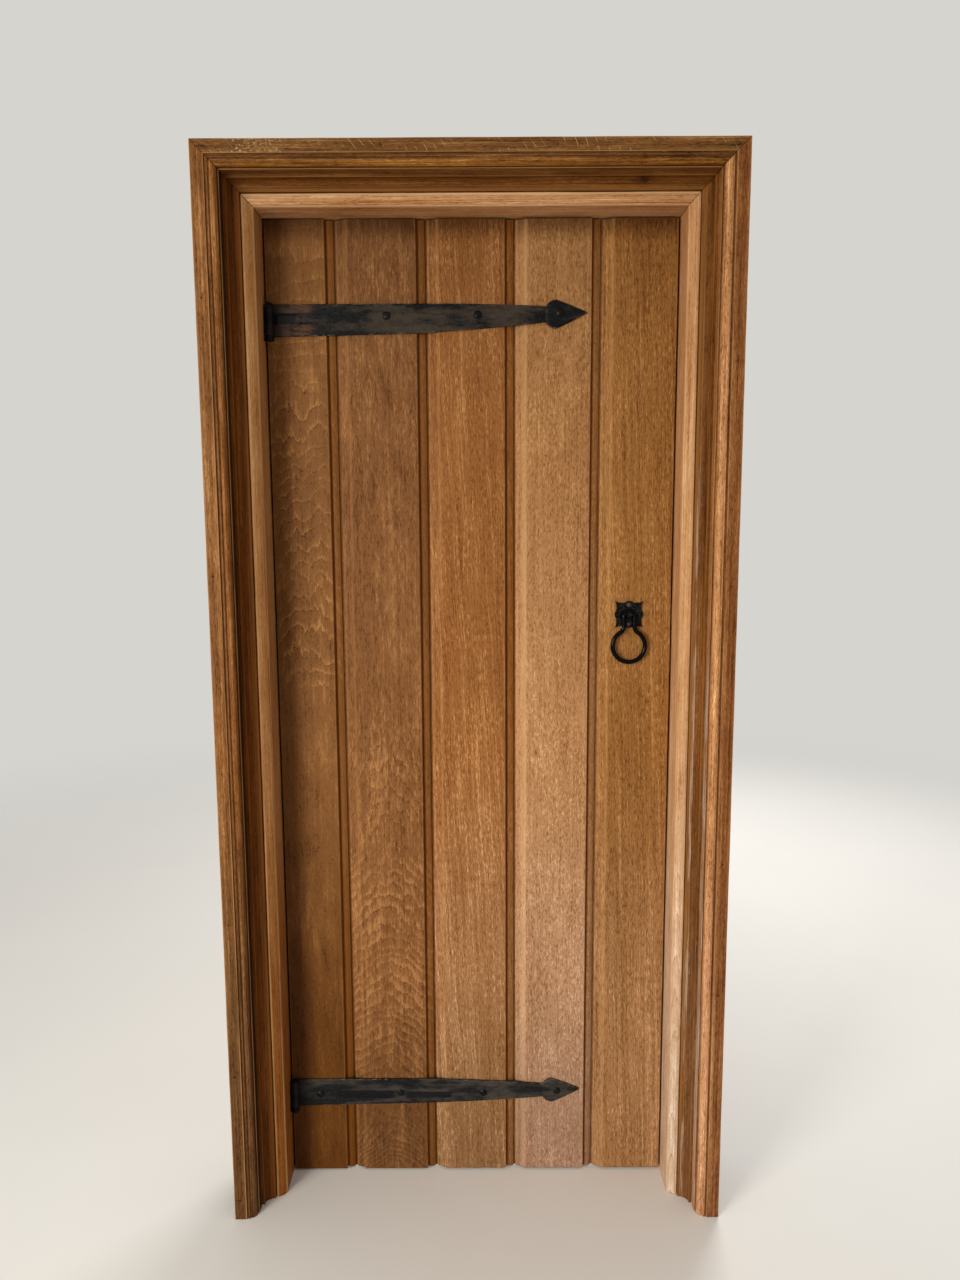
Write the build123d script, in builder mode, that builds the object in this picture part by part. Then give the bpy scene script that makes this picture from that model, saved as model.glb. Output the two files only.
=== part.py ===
from build123d import *
from math import atan2, degrees, radians, sqrt, tan
import os

# A ledged and braced oak door in its moulded frame, closed, seen from the side with the strap hinges.
# X runs to the right, Y away from the viewer and Z up, with the floor at zero.
# Sections are drawn with two measures: how far out from the opening's edge a point lies,
# and how far back from the front of the architrave.

# Doorway
opening_width = 768.0
opening_height = 1903.0
frame_depth = 190.0

# Lining, the light oak boards that face the opening
lining_thickness = 20.0
lining_setback = 62.5
lining_nose_width = 16.0
lining_nose_depth = 12.5
lining_nose_bow = 1.5
lining_ease = 1.5

# Posts and head of the frame, with a hollow worked on the inner front edge
post_width = 44.0
post_setback = 40.0
post_fillet = 7.0
post_fillet_setback = 57.5
hollow_width = 11.5
hollow_depth = 14.5
hollow_lip = 1.5

# Architrave, laid over the joint between the frame and the wall
architrave_thickness = 22.0
architrave_lap = 20.0
wall_lap = 24.5
band_width = 24.0
quirk_width = 2.0
quirk_depth = 3.0
bead_width = 4.0
flat_width = 3.5
flat_depth = 4.5
ovolo_width = 8.0
ovolo_depth = 11.0
inner_quirk_width = 1.0
inner_quirk_depth = 3.5
inner_fillet_drop = 1.5

# Stops behind the door
stop_thickness = 12.0
stop_gap = 2.0
stop_ease = 1.5

# Door leaf
door_setback = 138.5
board_thickness = 22.0
side_gap = 3.0
top_gap = 3.0
floor_gap = 5.0
first_board_widths = [130.0, 168.0, 163.5, 160.5]

# Joint between two boards: a bead and a dark quirk on one, a scooped edge on the next
joint_step = 19.0
bead_sink = 8.5
bead_rise = 2.0
joint_quirk = 3.5
tongue_front = 12.0
tongue_thickness = 6.0
tongue_reach = 8.0
tongue_fit = 0.2
scoop_width = 21.0
scoop_depth = 9.0
scoop_sag = 1.3
board_ease = 1.2

# Ledges and braces on the back
ledge_height = 150.0
ledge_thickness = 28.0
ledge_inset = 21.0
ledge_chamfer = 6.0
top_ledge_drop = 180.0
middle_ledge_height = 960.0
bottom_ledge_height = 176.0
brace_inset = 8.0
brace_end = 145.0
brace_chamfer = 6.0
screw_head_radius = 4.2
screw_radius = 2.2
screw_bite = 12.0
screw_row_offset = 38.0
screw_from_edge = 45.0
countersink_angle = 82.0
shank_fit = 0.05

# Strap hinges: a forged strap whose end is rolled into an eye, on a pin held by a spike.
# A strap's offset is from the middle of its ledge, and its rise is how far its head lies above its middle.
pin_radius = 4.0
pin_fit = 0.08
strap_thickness = 4.5
eye_gap = 1.4
strap_height = 59.0
strap_length = 588.0
taper_start = 270.0
lower_edge_lift = 5.0
taper_bow = 1.5
neck_height = 29.6
head_length = 77.0
head_height = 52.0
shoulder = 19.0
shoulder_round = 5.5
shoulder_round_height = 42.0
head_bow = 0.8
head_swell = 1.8
head_slope = 60.0
tip_rise = 2.5
top_strap_offset = 1.0
top_strap_rise = 9.3
bottom_strap_offset = 3.5
bottom_strap_rise = 3.0
lap_start = 12.0
lap_end = 58.0
lap_height = 20.0
lap_thickness = 1.8
lap_corner = 4.0
pin_collar_radius = 8.0
pin_collar_height = 7.5
pin_collar_gap = 0.3
pin_stand = 2.5
pin_chamfer = 1.3
spike_size = 7.0
spike_depth = 48.0
spike_point = 14.0
spike_tip = 2.2
spike_fit = 0.1

# Strap nails: how far along from the eye, as a share of the strap's length, and how far above its middle
top_nails = [(0.368, 7.5), (0.655, 8.5), (0.913, 11.0)]
bottom_nails = [(0.09, -3.0), (0.37, -0.5), (0.661, -1.0), (0.918, 3.0)]
nail_head_radius = 7.5
nail_head_height = 3.4
nail_head_rim = 0.8
nail_radius = 2.5
nail_length = 21.0

# Ring pull
ring_from_edge = 81.5
ring_height = 1171.0
plate_width = 53.0
plate_height = 50.5
plate_thickness = 3.0
plate_waist = 2.5
plate_lobe = 8.0
plate_lobe_rise = 0.8
plate_screw_offset = 18.7
plate_screw_head_radius = 4.5
plate_screw_head_height = 2.4
plate_screw_head_rim = 0.6
plate_screw_radius = 1.8
plate_screw_length = 18.0
lug_half_width = 4.7
lug_radius = 6.0
lug_base = 20.0
pivot_rise = 1.0
wire_radius = 4.2
wire_gap = 0.5
ring_pin_radius = 2.5
ring_pin_fit = 0.05
ring_pin_length = 4.5
ring_pin_gap = 0.7
leg_bend = 5.0
flare_radius = 14.0
ring_radius = 31.2
ring_drop = 61.9

# Ball catch in the free edge of the door, at the height of the ring
ball_radius = 4.5
ball_stand = 2.7
case_radius = 6.0
case_length = 22.0
case_flange_radius = 8.0
case_flange = 1.2
case_wall = 1.2
case_end = 1.5
case_lip = 1.0
case_fit = 0.1
mouth_fit = 0.25
spring_wire = 0.4
spring_radius = 3.6
spring_turns = 6
spring_gap = 0.35
strike_thickness = 1.0
strike_width = 19.0
strike_height = 44.0
strike_corner = 3.0
strike_hole_radius = 5.0
strike_screw_spacing = 30.0
strike_screw_radius = 1.4
strike_screw_head_radius = 2.2
strike_screw_length = 16.0

# Brads in the architrave: heights on the two sides, places across the head
brad_radius = 1.3
brad_sink = 1.0
left_brads = [40.0, 298.0, 604.0, 895.0, 1257.0, 1734.0]
right_brads = [460.0, 718.0, 1235.0, 1626.5]
head_brads = [-447.0, -149.5, 147.0, 453.0]

# Places worked out from the sizes
front = -frame_depth / 2
half_opening = opening_width / 2
post_outer = lining_thickness + post_width
architrave_inner = post_outer - architrave_lap
architrave_outer = post_outer + wall_lap
door_face = front + door_setback
door_back = door_face + board_thickness
door_width = opening_width - 2 * side_gap
door_left = -door_width / 2
door_right = door_width / 2
door_top = opening_height - top_gap
board_widths = first_board_widths + [door_width - sum(first_board_widths)]
board_edges = [door_left + sum(board_widths[:i]) for i in range(len(board_widths) + 1)]
top_ledge_height = door_top - top_ledge_drop
ledge_half = door_width / 2 - ledge_inset
ledge_back = door_back + ledge_thickness
eye_radius = pin_radius + pin_fit + strap_thickness
axis_x = -half_opening + eye_gap + eye_radius
axis_y = door_face - eye_radius
strap_front = door_face - strap_thickness
neck = strap_length - head_length
ring_x = door_right - ring_from_edge
plate_front = door_face - plate_thickness
pivot_y = plate_front - wire_gap - wire_radius
pivot_z = ring_height + pivot_rise
catch_y = (door_face + door_back) / 2
ball_x = door_right + ball_stand - ball_radius
strike_face = half_opening - strike_thickness

os.makedirs("parts", exist_ok=True)


def finish(piece, name):
    """Label a finished piece and write it."""
    piece.label = name
    export_step(piece, f"parts/{name}.step")


def draw(steps, place):
    """Closed outline. A step is a corner, or a pair: a point on an arc and the arc's end."""
    start = here = place(*steps[0])
    for step in steps[1:]:
        if isinstance(step[0], tuple):
            through, end = place(*step[0]), place(*step[1])
            ThreePointArc(here, through, end)
        else:
            end = place(*step)
            Line(here, end)
        here = end
    if Vector(*here) != Vector(*start):
        Line(here, start)


# Sections of the frame's members


def architrave_section():
    band_edge = architrave_outer - band_width
    bead_start = band_edge - quirk_width
    bead_end = bead_start - bead_width
    ovolo_start = bead_end - flat_width
    ovolo_end = ovolo_start - ovolo_width
    ovolo_back = flat_depth + ovolo_depth
    fillet_edge = ovolo_end - inner_quirk_width
    turn = sqrt(0.5)
    return [
        (architrave_outer, 0),
        (band_edge, 0),
        (band_edge, quirk_depth),
        (bead_start, quirk_depth),
        ((bead_start - bead_width / 2, quirk_depth - bead_width / 2), (bead_end, quirk_depth)),
        (bead_end, flat_depth),
        (ovolo_start, flat_depth),
        (
            (ovolo_start - turn * ovolo_width, ovolo_back - turn * ovolo_depth),
            (ovolo_end, ovolo_back),
        ),
        (ovolo_end, ovolo_back + inner_quirk_depth),
        (fillet_edge, ovolo_back + inner_quirk_depth),
        (fillet_edge, ovolo_back + inner_fillet_drop),
        (architrave_inner, ovolo_back + inner_fillet_drop),
        (architrave_inner, post_setback),
        (post_outer, post_setback),
        (post_outer, architrave_thickness),
        (architrave_outer, architrave_thickness),
    ]


def post_section():
    hollow_edge = lining_thickness + post_fillet
    hollow_back = post_setback + hollow_lip + hollow_depth
    turn = sqrt(0.5)
    return [
        (lining_thickness, frame_depth),
        (lining_thickness, post_fillet_setback),
        (hollow_edge, post_fillet_setback),
        (hollow_edge, hollow_back),
        (
            (hollow_edge + turn * hollow_width, hollow_back - (1 - turn) * hollow_depth),
            (hollow_edge + hollow_width, post_setback + hollow_lip),
        ),
        (hollow_edge + hollow_width, post_setback),
        (post_outer, post_setback),
        (post_outer, frame_depth),
    ]


def lining_section():
    nose_back = lining_setback + lining_nose_depth
    nose_middle = lining_setback + lining_nose_depth / 2
    return [
        (lining_thickness, frame_depth),
        (lining_thickness, lining_setback + lining_ease),
        (lining_thickness - lining_ease, lining_setback),
        (lining_nose_width, lining_setback),
        ((lining_nose_width / 2 - lining_nose_bow, nose_middle - lining_nose_bow), (0, nose_back)),
        (0, frame_depth),
    ]


def stop_section():
    stop_setback = door_setback + board_thickness + stop_gap
    return [
        (0, frame_depth),
        (0, stop_setback),
        (stop_ease - stop_thickness, stop_setback),
        (-stop_thickness, stop_setback + stop_ease),
        (-stop_thickness, frame_depth),
    ]


def mitre(side):
    """Plane of the corner joint: side is -1 on the left and 1 on the right."""
    corner = (side * half_opening, 0, opening_height)
    return Plane(origin=corner, x_dir=(0, 1, 0), z_dir=(-side, 0, 1))


def upright(section, side):
    """A member that stands beside the opening, cut to the mitre at its top."""
    with BuildPart() as member:
        with BuildSketch(Plane.XY):
            with BuildLine():
                draw(section, lambda out, setback: (side * (half_opening + out), front + setback))
            make_face()
        extrude(amount=opening_height + architrave_outer)
        split(bisect_by=mitre(side), keep=Keep.BOTTOM)
    return member.part


def crosspiece(section):
    """A member over the opening, cut to the mitres at both ends."""
    with BuildPart() as member:
        with BuildSketch(Plane.YZ):
            with BuildLine():
                draw(section, lambda out, setback: (front + setback, opening_height + out))
            make_face()
        extrude(amount=half_opening + architrave_outer, both=True)
        split(bisect_by=mitre(-1), keep=Keep.TOP)
        split(bisect_by=mitre(1), keep=Keep.TOP)
    return member.part


def looking_back(x, y, z):
    """Plane facing the viewer, for what is driven in from the front."""
    return Plane(origin=(x, y, z), x_dir=(1, 0, 0), z_dir=(0, -1, 0))


def looking_front(x, y, z):
    """Plane facing away from the viewer, for what is driven in from the back."""
    return Plane(origin=(x, y, z), x_dir=(-1, 0, 0), z_dir=(0, 1, 0))


# Architrave, with the holes of its brads

band_middle = half_opening + architrave_outer - band_width / 2
head_band_middle = opening_height + architrave_outer - band_width / 2
brad_places = [(-band_middle, z) for z in left_brads]
brad_places += [(band_middle, z) for z in right_brads]
head_brad_places = [(x, head_band_middle) for x in head_brads]

for name, blank, places in [
    ("architrave_left", upright(architrave_section(), -1), brad_places[: len(left_brads)]),
    ("architrave_right", upright(architrave_section(), 1), brad_places[len(left_brads):]),
    ("architrave_head", crosspiece(architrave_section()), head_brad_places),
]:
    with BuildPart() as architrave:
        add(blank)
        with Locations([looking_back(x, front, z) for x, z in places]):
            Hole(radius=brad_radius + shank_fit, depth=architrave_thickness)
    finish(architrave.part, name)

with BuildPart() as architrave_brads:
    for x, z in brad_places + head_brad_places:
        with BuildSketch(looking_back(x, front + brad_sink, z)):
            Circle(brad_radius)
        extrude(amount=brad_sink - architrave_thickness)
finish(architrave_brads.part, "architrave_brads")

# Posts and linings, with the square holes for the hinge spikes


def along_strap(nails):
    """The places of a strap's nails, along it from the eye and up from its middle."""
    return [(share * strap_length, up) for share, up in nails]


straps = [
    ("top", top_ledge_height + top_strap_offset, top_strap_rise, along_strap(top_nails)),
    ("bottom", bottom_ledge_height + bottom_strap_offset, bottom_strap_rise, along_strap(bottom_nails)),
]


def spike_height(strap_middle):
    """Height of the middle of the collar and spike under a strap's eye."""
    return strap_middle - strap_height / 2 - pin_collar_gap - pin_collar_height / 2


def hinge_side(section):
    """The left member of a section, mortised for the spikes of both hinges."""
    with BuildPart() as member:
        add(upright(section, -1))
        for _, strap_middle, _, _ in straps:
            with BuildSketch(Plane(origin=(axis_x, axis_y, spike_height(strap_middle)), z_dir=(-1, 0, 0))):
                Rectangle(spike_size + 2 * spike_fit, spike_size + 2 * spike_fit)
            extrude(amount=spike_depth + spike_point, mode=Mode.SUBTRACT)
    return member.part


finish(hinge_side(post_section()), "frame_post_left")
finish(upright(post_section(), 1), "frame_post_right")
finish(crosspiece(post_section()), "frame_head")
finish(hinge_side(lining_section()), "lining_left")
finish(crosspiece(lining_section()), "lining_head")
finish(upright(stop_section(), -1), "stop_left")
finish(upright(stop_section(), 1), "stop_right")
finish(crosspiece(stop_section()), "stop_head")

strike_screw_places = [ring_height - strike_screw_spacing / 2, ring_height + strike_screw_spacing / 2]
into_lining = [Plane(origin=(half_opening, catch_y, z), z_dir=(-1, 0, 0)) for z in strike_screw_places]

with BuildPart() as lining_right:
    add(upright(lining_section(), 1))
    with Locations(into_lining):
        Hole(radius=strike_screw_radius + shank_fit, depth=strike_screw_length)
finish(lining_right.part, "lining_right")

# Pins of the hinges: a pin, its collar and the spike that is driven into the lining and post

for name, strap_middle, _, _ in straps:
    collar_top = strap_middle - strap_height / 2 - pin_collar_gap
    pin_top = strap_middle + strap_height / 2 + pin_stand
    collar_middle = spike_height(strap_middle)
    with BuildPart() as pintle:
        with BuildSketch(Plane.XY.offset(collar_top - pin_collar_height)):
            with Locations((axis_x, axis_y)):
                Circle(pin_collar_radius)
        extrude(amount=pin_collar_height)
        with BuildSketch(Plane.XY.offset(collar_top)):
            with Locations((axis_x, axis_y)):
                Circle(pin_radius)
        extrude(amount=pin_top - collar_top)
        chamfer(pintle.edges().sort_by(Axis.Z)[-1], length=pin_chamfer)
        shank = Plane(origin=(axis_x, axis_y, collar_middle), z_dir=(-1, 0, 0))
        with BuildSketch(shank):
            Rectangle(spike_size, spike_size)
        extrude(amount=spike_depth)
        with BuildSketch(shank.offset(spike_depth)):
            Rectangle(spike_size, spike_size)
        with BuildSketch(shank.offset(spike_depth + spike_point)):
            Rectangle(spike_tip, spike_tip)
        loft()
    finish(pintle.part, f"pintle_{name}")

# Boards of the leaf


def plain_left(edge):
    return [(edge, board_thickness), (edge, board_ease), (edge + board_ease, 0)]


def grooved_left(edge):
    cheek = edge + tongue_fit
    groove_end = edge + tongue_reach + 2 * tongue_fit
    groove_back = tongue_front + tongue_thickness + tongue_fit
    middle = (edge + scoop_width / 2, scoop_depth / 2 + scoop_sag)
    return [
        (cheek, board_thickness),
        (cheek, groove_back),
        (groove_end, groove_back),
        (groove_end, tongue_front - tongue_fit),
        (cheek, tongue_front - tongue_fit),
        (cheek, scoop_depth),
        (middle, (edge + scoop_width, 0)),
    ]


def plain_right(edge):
    return [(edge - board_ease, 0), (edge, board_ease), (edge, board_thickness)]


def beaded_right(edge):
    step = edge - joint_step
    bead_end = edge - joint_quirk
    tongue_back = tongue_front + tongue_thickness
    return [
        (step - board_ease, 0),
        (step, board_ease),
        (step, bead_sink),
        (((step + bead_end) / 2, bead_sink - bead_rise), (bead_end, bead_sink)),
        (bead_end, tongue_front),
        (edge + tongue_reach, tongue_front),
        (edge + tongue_reach, tongue_back),
        (edge, tongue_back),
        (edge, board_thickness),
    ]


ledge_heights = [
    ("top", top_ledge_height),
    ("middle", middle_ledge_height),
    ("bottom", bottom_ledge_height),
]
brace_foot = brace_inset - ledge_half
brace_spans = [
    ("lower", bottom_ledge_height + ledge_height / 2, middle_ledge_height - ledge_height / 2),
    ("upper", middle_ledge_height + ledge_height / 2, top_ledge_height - ledge_height / 2),
]


def ledge_screw_places():
    """Two screws for each board in each ledge, one low and one high."""
    places = []
    for left, right in zip(board_edges, board_edges[1:]):
        for _, height in ledge_heights:
            places.append((left + screw_from_edge, height - screw_row_offset))
            places.append((right - screw_from_edge, height + screw_row_offset))
    return places


def brace_screw_places():
    """Screws spaced evenly along the middle of each brace."""
    start = brace_foot + brace_end / 2
    count = len(board_widths)
    shares = [(number + 0.5) / count for number in range(count)]
    return [
        (start * (1 - 2 * share), low + share * (high - low))
        for _, low, high in brace_spans
        for share in shares
    ]


screw_places = ledge_screw_places() + brace_screw_places()
last = len(board_widths) - 1
plate_screw_places = [ring_height - plate_screw_offset, ring_height + plate_screw_offset]
nail_places = [
    (axis_x + along, strap_middle + up)
    for _, strap_middle, _, nails in straps
    for along, up in nails
]

for number in range(len(board_widths)):
    left, right = board_edges[number], board_edges[number + 1]
    left_edge = plain_left(left) if number == 0 else grooved_left(left)
    right_edge = plain_right(right) if number == last else beaded_right(right)
    with BuildPart() as board:
        with BuildSketch(Plane.XY.offset(floor_gap)):
            with BuildLine():
                draw(left_edge + right_edge, lambda x, depth: (x, door_face + depth))
            make_face()
        extrude(amount=door_top - floor_gap)
        reach = right + tongue_reach
        screws_here = [(x, z) for x, z in screw_places if left - screw_radius < x < reach + screw_radius]
        with Locations([looking_front(x, door_back, z) for x, z in screws_here]):
            Hole(radius=screw_radius + shank_fit, depth=screw_bite)
        nails_here = [(x, z) for x, z in nail_places if left < x < right]
        if nails_here:
            with Locations([looking_back(x, door_face, z) for x, z in nails_here]):
                Hole(radius=nail_radius + shank_fit, depth=nail_length)
        if number == last:
            with Locations([looking_back(ring_x, door_face, z) for z in plate_screw_places]):
                Hole(radius=plate_screw_radius + shank_fit, depth=plate_screw_length)
            with Locations(Plane(origin=(right, catch_y, ring_height), z_dir=(1, 0, 0))):
                CounterBoreHole(
                    radius=case_radius + case_fit,
                    counter_bore_radius=case_flange_radius + case_fit,
                    counter_bore_depth=case_flange,
                    depth=case_length + case_fit,
                )
    finish(board.part, f"board_{number + 1}")

# Ledges and braces, screwed on from the back


def screwed(blank, places):
    """A ledge or brace with a countersunk hole for each screw."""
    with BuildPart() as timber:
        add(blank)
        with Locations([looking_front(x, ledge_back, z) for x, z in places]):
            CounterSinkHole(
                radius=screw_radius + shank_fit,
                counter_sink_radius=screw_head_radius,
                depth=ledge_thickness,
                counter_sink_angle=countersink_angle,
            )
    return timber.part


for name, height in ledge_heights:
    with BuildPart() as ledge:
        with BuildSketch(Plane.XZ.offset(-ledge_back)):
            with Locations((0, height)):
                Rectangle(2 * ledge_half, ledge_height)
        extrude(amount=ledge_thickness)
        chamfer(ledge.faces().sort_by(Axis.Y)[-1].edges(), length=ledge_chamfer)
    in_ledge = [(x, z) for x, z in screw_places if abs(z - height) < ledge_height / 2]
    finish(screwed(ledge.part, in_ledge), f"ledge_{name}")

for name, low, high in brace_spans:
    with BuildPart() as brace:
        with BuildSketch(Plane.XZ.offset(-ledge_back)):
            with BuildLine():
                near, far = (brace_foot + brace_end, low), (-brace_foot - brace_end, high)
                Polyline((brace_foot, low), near, (-brace_foot, high), far, close=True)
            make_face()
        extrude(amount=ledge_thickness)
        long_edges = brace.faces().sort_by(Axis.Y)[-1].edges().sort_by(SortBy.LENGTH)[-2:]
        chamfer(long_edges, length=brace_chamfer)
    in_brace = [(x, z) for x, z in screw_places if low < z < high]
    finish(screwed(brace.part, in_brace), f"brace_{name}")


def screw(head_radius, radius, length):
    """A countersunk screw with its head's face at the origin and its shank going down."""
    head_depth = (head_radius - radius) / tan(radians(countersink_angle / 2))
    with BuildPart() as fastener:
        with BuildSketch(Plane.XZ):
            with BuildLine():
                cone = [(0, 0), (head_radius, 0), (radius, -head_depth)]
                Polyline(*cone, (radius, -length), (0, -length), close=True)
            make_face()
        revolve(axis=Axis.Z)
    return fastener.part


def round_head(head_radius, head_height, rim, radius, length):
    """A nail or screw with a domed head over a straight rim, its underside at the origin."""
    dome = head_height - rim
    dome_radius = (head_radius**2 + dome**2) / (2 * dome)
    with BuildPart() as fastener:
        with BuildSketch(Plane.XZ):
            with BuildLine():
                shank = [(0, head_height), (0, -length), (radius, -length), (radius, 0)]
                Polyline(*shank, (head_radius, 0), (head_radius, rim))
                RadiusArc((head_radius, rim), (0, head_height), -dome_radius)
            make_face()
        revolve(axis=Axis.Z)
    return fastener.part


def fasteners(piece, places, name):
    """The same fastener at every place, as separate solids of one node."""
    with BuildPart() as group:
        with Locations(places):
            add(piece)
    finish(group.part, name)


ledge_screw = screw(screw_head_radius, screw_radius, ledge_thickness + screw_bite)
fasteners(ledge_screw, [looking_front(x, ledge_back, z) for x, z in screw_places], "ledge_screws")

# Strap hinges


def head_steps(rise):
    """The spear head of a strap, from the lower side of its neck round the tip to the upper side."""
    tip = (strap_length, rise + tip_rise)
    peak = neck + shoulder
    steps = []
    for side in (-1, 1):
        neck_side = (neck, rise + side * neck_height / 2)
        turn = (neck + shoulder_round, rise + side * shoulder_round_height / 2)
        top = (peak, rise + side * head_height / 2)
        bow = ((peak + strap_length) / 2, (top[1] + tip[1]) / 2 + side * head_bow)
        if side < 0:
            steps += [neck_side, (turn, top), (bow, tip)]
        else:
            steps += [(bow, top), (turn, neck_side)]
    return steps


def strap_steps(rise):
    """The whole outline, along the strap from the eye and up from its middle."""
    half = strap_height / 2
    low_start = lower_edge_lift - half
    middle = (taper_start + neck) / 2
    low_bow = (low_start + rise - neck_height / 2) / 2 - taper_bow
    high_bow = (half + rise + neck_height / 2) / 2 + taper_bow
    head = head_steps(rise)
    return [
        (0, half),
        (0, -half),
        (taper_start, low_start),
        ((middle, low_bow), head[0]),
        *head[1:],
        ((middle, high_bow), (taper_start, half)),
    ]


for name, strap_middle, rise, nails in straps:
    strap_back = looking_back(axis_x, door_face, strap_middle)
    head_front = strap_thickness + head_swell
    holes = [looking_back(axis_x + along, door_face - head_front, strap_middle + up) for along, up in nails]
    with BuildPart() as strap:
        with BuildSketch(strap_back):
            with BuildLine():
                draw(strap_steps(rise), lambda along, up: (along, up))
            make_face()
        extrude(amount=strap_thickness)
        with BuildSketch(strap_back.offset(strap_thickness)):
            with BuildLine():
                draw(head_steps(rise), lambda along, up: (along, up))
            make_face()
        extrude(amount=head_swell, taper=head_slope)
        if name == "top":
            with BuildSketch(strap_back.offset(strap_thickness)):
                with Locations(((lap_start + lap_end) / 2, 0)):
                    RectangleRounded(lap_end - lap_start, lap_height, lap_corner)
            extrude(amount=lap_thickness)
        with BuildSketch(Plane.XY.offset(strap_middle - strap_height / 2)):
            with Locations((axis_x, axis_y)):
                Circle(eye_radius)
        extrude(amount=strap_height)
        with BuildSketch(Plane.XY.offset(strap_middle - strap_height / 2)):
            with Locations((axis_x, axis_y)):
                Circle(pin_radius + pin_fit)
        extrude(amount=strap_height, mode=Mode.SUBTRACT)
        with Locations(holes):
            Hole(radius=nail_radius + shank_fit, depth=head_front)
    finish(strap.part, f"strap_{name}")

    heads = [
        looking_back(
            axis_x + along,
            strap_front - (head_swell if along > neck else 0),
            strap_middle + up,
        )
        for along, up in nails
    ]
    nail_reach = strap_thickness + nail_length
    nail = round_head(nail_head_radius, nail_head_height, nail_head_rim, nail_radius, nail_reach)
    fasteners(nail, heads, f"strap_nails_{name}")

# Ring pull: a notched plate with a lug, and a pear shaped ring whose ends turn into the lug


def plate_steps():
    """Outline of the plate: on each side a lobe between two hollows, and sharp corners."""
    half_width, half_height = plate_width / 2, plate_height / 2
    steps = []
    for turn, (length, reach) in enumerate([(half_width, half_height), (half_height, half_width)] * 2):
        hollow, waist = (length + plate_lobe) / 2, reach - plate_waist
        side = [
            (-length, reach),
            ((-hollow, waist), (-plate_lobe, waist)),
            ((0, reach + plate_lobe_rise), (plate_lobe, waist)),
            ((hollow, waist), (length, reach)),
        ]
        turns = [lambda u, v: (u, v), lambda u, v: (v, -u), lambda u, v: (-u, -v), lambda u, v: (-v, u)]
        place = turns[turn]
        for step in side[1:] if steps else side:
            arc = isinstance(step[0], tuple)
            steps.append((place(*step[0]), place(*step[1])) if arc else place(*step))
    return steps


with BuildPart() as ring_plate:
    with BuildSketch(looking_back(ring_x, door_face, ring_height)):
        with BuildLine():
            draw(plate_steps(), lambda x, z: (x, z))
        make_face()
    extrude(amount=plate_thickness)
    with BuildSketch(Plane.YZ.offset(ring_x)):
        with Locations((pivot_y, pivot_z)):
            Circle(lug_radius)
        with BuildLine():
            Polyline(
                (door_face, pivot_z - lug_base / 2),
                (plate_front, pivot_z - lug_base / 2),
                (pivot_y, pivot_z - lug_radius),
                (pivot_y, pivot_z + lug_radius),
                (plate_front, pivot_z + lug_base / 2),
                (door_face, pivot_z + lug_base / 2),
                close=True,
            )
        make_face()
    extrude(amount=lug_half_width, both=True)
    with Locations(Plane(origin=(ring_x + lug_half_width, pivot_y, pivot_z), z_dir=(1, 0, 0))):
        Hole(radius=ring_pin_radius + ring_pin_fit, depth=2 * lug_half_width)
    with Locations([looking_back(ring_x, plate_front, z) for z in plate_screw_places]):
        Hole(radius=plate_screw_radius + shank_fit, depth=plate_thickness)
finish(ring_plate.part, "ring_plate")

plate_screw = round_head(
    plate_screw_head_radius,
    plate_screw_head_height,
    plate_screw_head_rim,
    plate_screw_radius,
    plate_thickness + plate_screw_length,
)
plate_screws_at = [looking_back(ring_x, plate_front, z) for z in plate_screw_places]
fasteners(plate_screw, plate_screws_at, "ring_plate_screws")

ring_end = lug_half_width + ring_pin_gap
leg = ring_end + leg_bend
flare_rise = sqrt((ring_radius + flare_radius) ** 2 - (leg + flare_radius) ** 2)
flare_turn = degrees(atan2(flare_rise, leg + flare_radius))

with BuildPart() as ring_handle:
    with BuildLine(looking_back(ring_x, pivot_y, pivot_z)):
        right_bend = JernArc(start=(ring_end, 0), tangent=(1, 0), radius=leg_bend, arc_size=-90)
        right_leg = Line(right_bend @ 1, (leg, flare_rise - ring_drop))
        right_flare = JernArc(start=right_leg @ 1, tangent=(0, -1), radius=flare_radius, arc_size=flare_turn)
        pull = JernArc(
            start=right_flare @ 1,
            tangent=right_flare % 1,
            radius=ring_radius,
            arc_size=-180 - 2 * flare_turn,
        )
        left_flare = JernArc(start=pull @ 1, tangent=pull % 1, radius=flare_radius, arc_size=flare_turn)
        left_leg = Line(left_flare @ 1, (-leg, -leg_bend))
        JernArc(start=left_leg @ 1, tangent=(0, 1), radius=leg_bend, arc_size=-90)
    with BuildSketch(Plane(origin=(ring_x + ring_end, pivot_y, pivot_z), z_dir=(1, 0, 0))):
        Circle(wire_radius)
    sweep()
    for side in (-1, 1):
        end = (ring_x + side * ring_end, pivot_y, pivot_z)
        with BuildSketch(Plane(origin=end, z_dir=(-side, 0, 0))):
            Circle(ring_pin_radius)
        extrude(amount=ring_pin_gap + ring_pin_length)
finish(ring_handle.part, "ring_handle")

# Ball catch in the edge of the leaf, and its strike in the lining

catch_axis = Axis((0, catch_y, ring_height), (1, 0, 0))
catch_plane = Plane(origin=(0, catch_y, ring_height), x_dir=(1, 0, 0), z_dir=(0, 0, 1))
case_start = door_right - case_length
bore_radius = case_radius - case_wall
mouth_radius = sqrt(ball_radius**2 - (door_right - ball_x) ** 2) + mouth_fit

with BuildPart() as catch_case:
    with BuildSketch(catch_plane):
        with BuildLine():
            Polyline(
                (case_start, 0),
                (case_start, case_radius),
                (door_right - case_flange, case_radius),
                (door_right - case_flange, case_flange_radius),
                (door_right, case_flange_radius),
                (door_right, mouth_radius),
                (door_right - case_lip, bore_radius),
                (case_start + case_end, bore_radius),
                (case_start + case_end, 0),
                close=True,
            )
        make_face()
    revolve(axis=catch_axis)
finish(catch_case.part, "catch_case")

with BuildPart() as catch_ball:
    with Locations((ball_x, catch_y, ring_height)):
        Sphere(ball_radius)
finish(catch_ball.part, "catch_ball")

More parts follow.
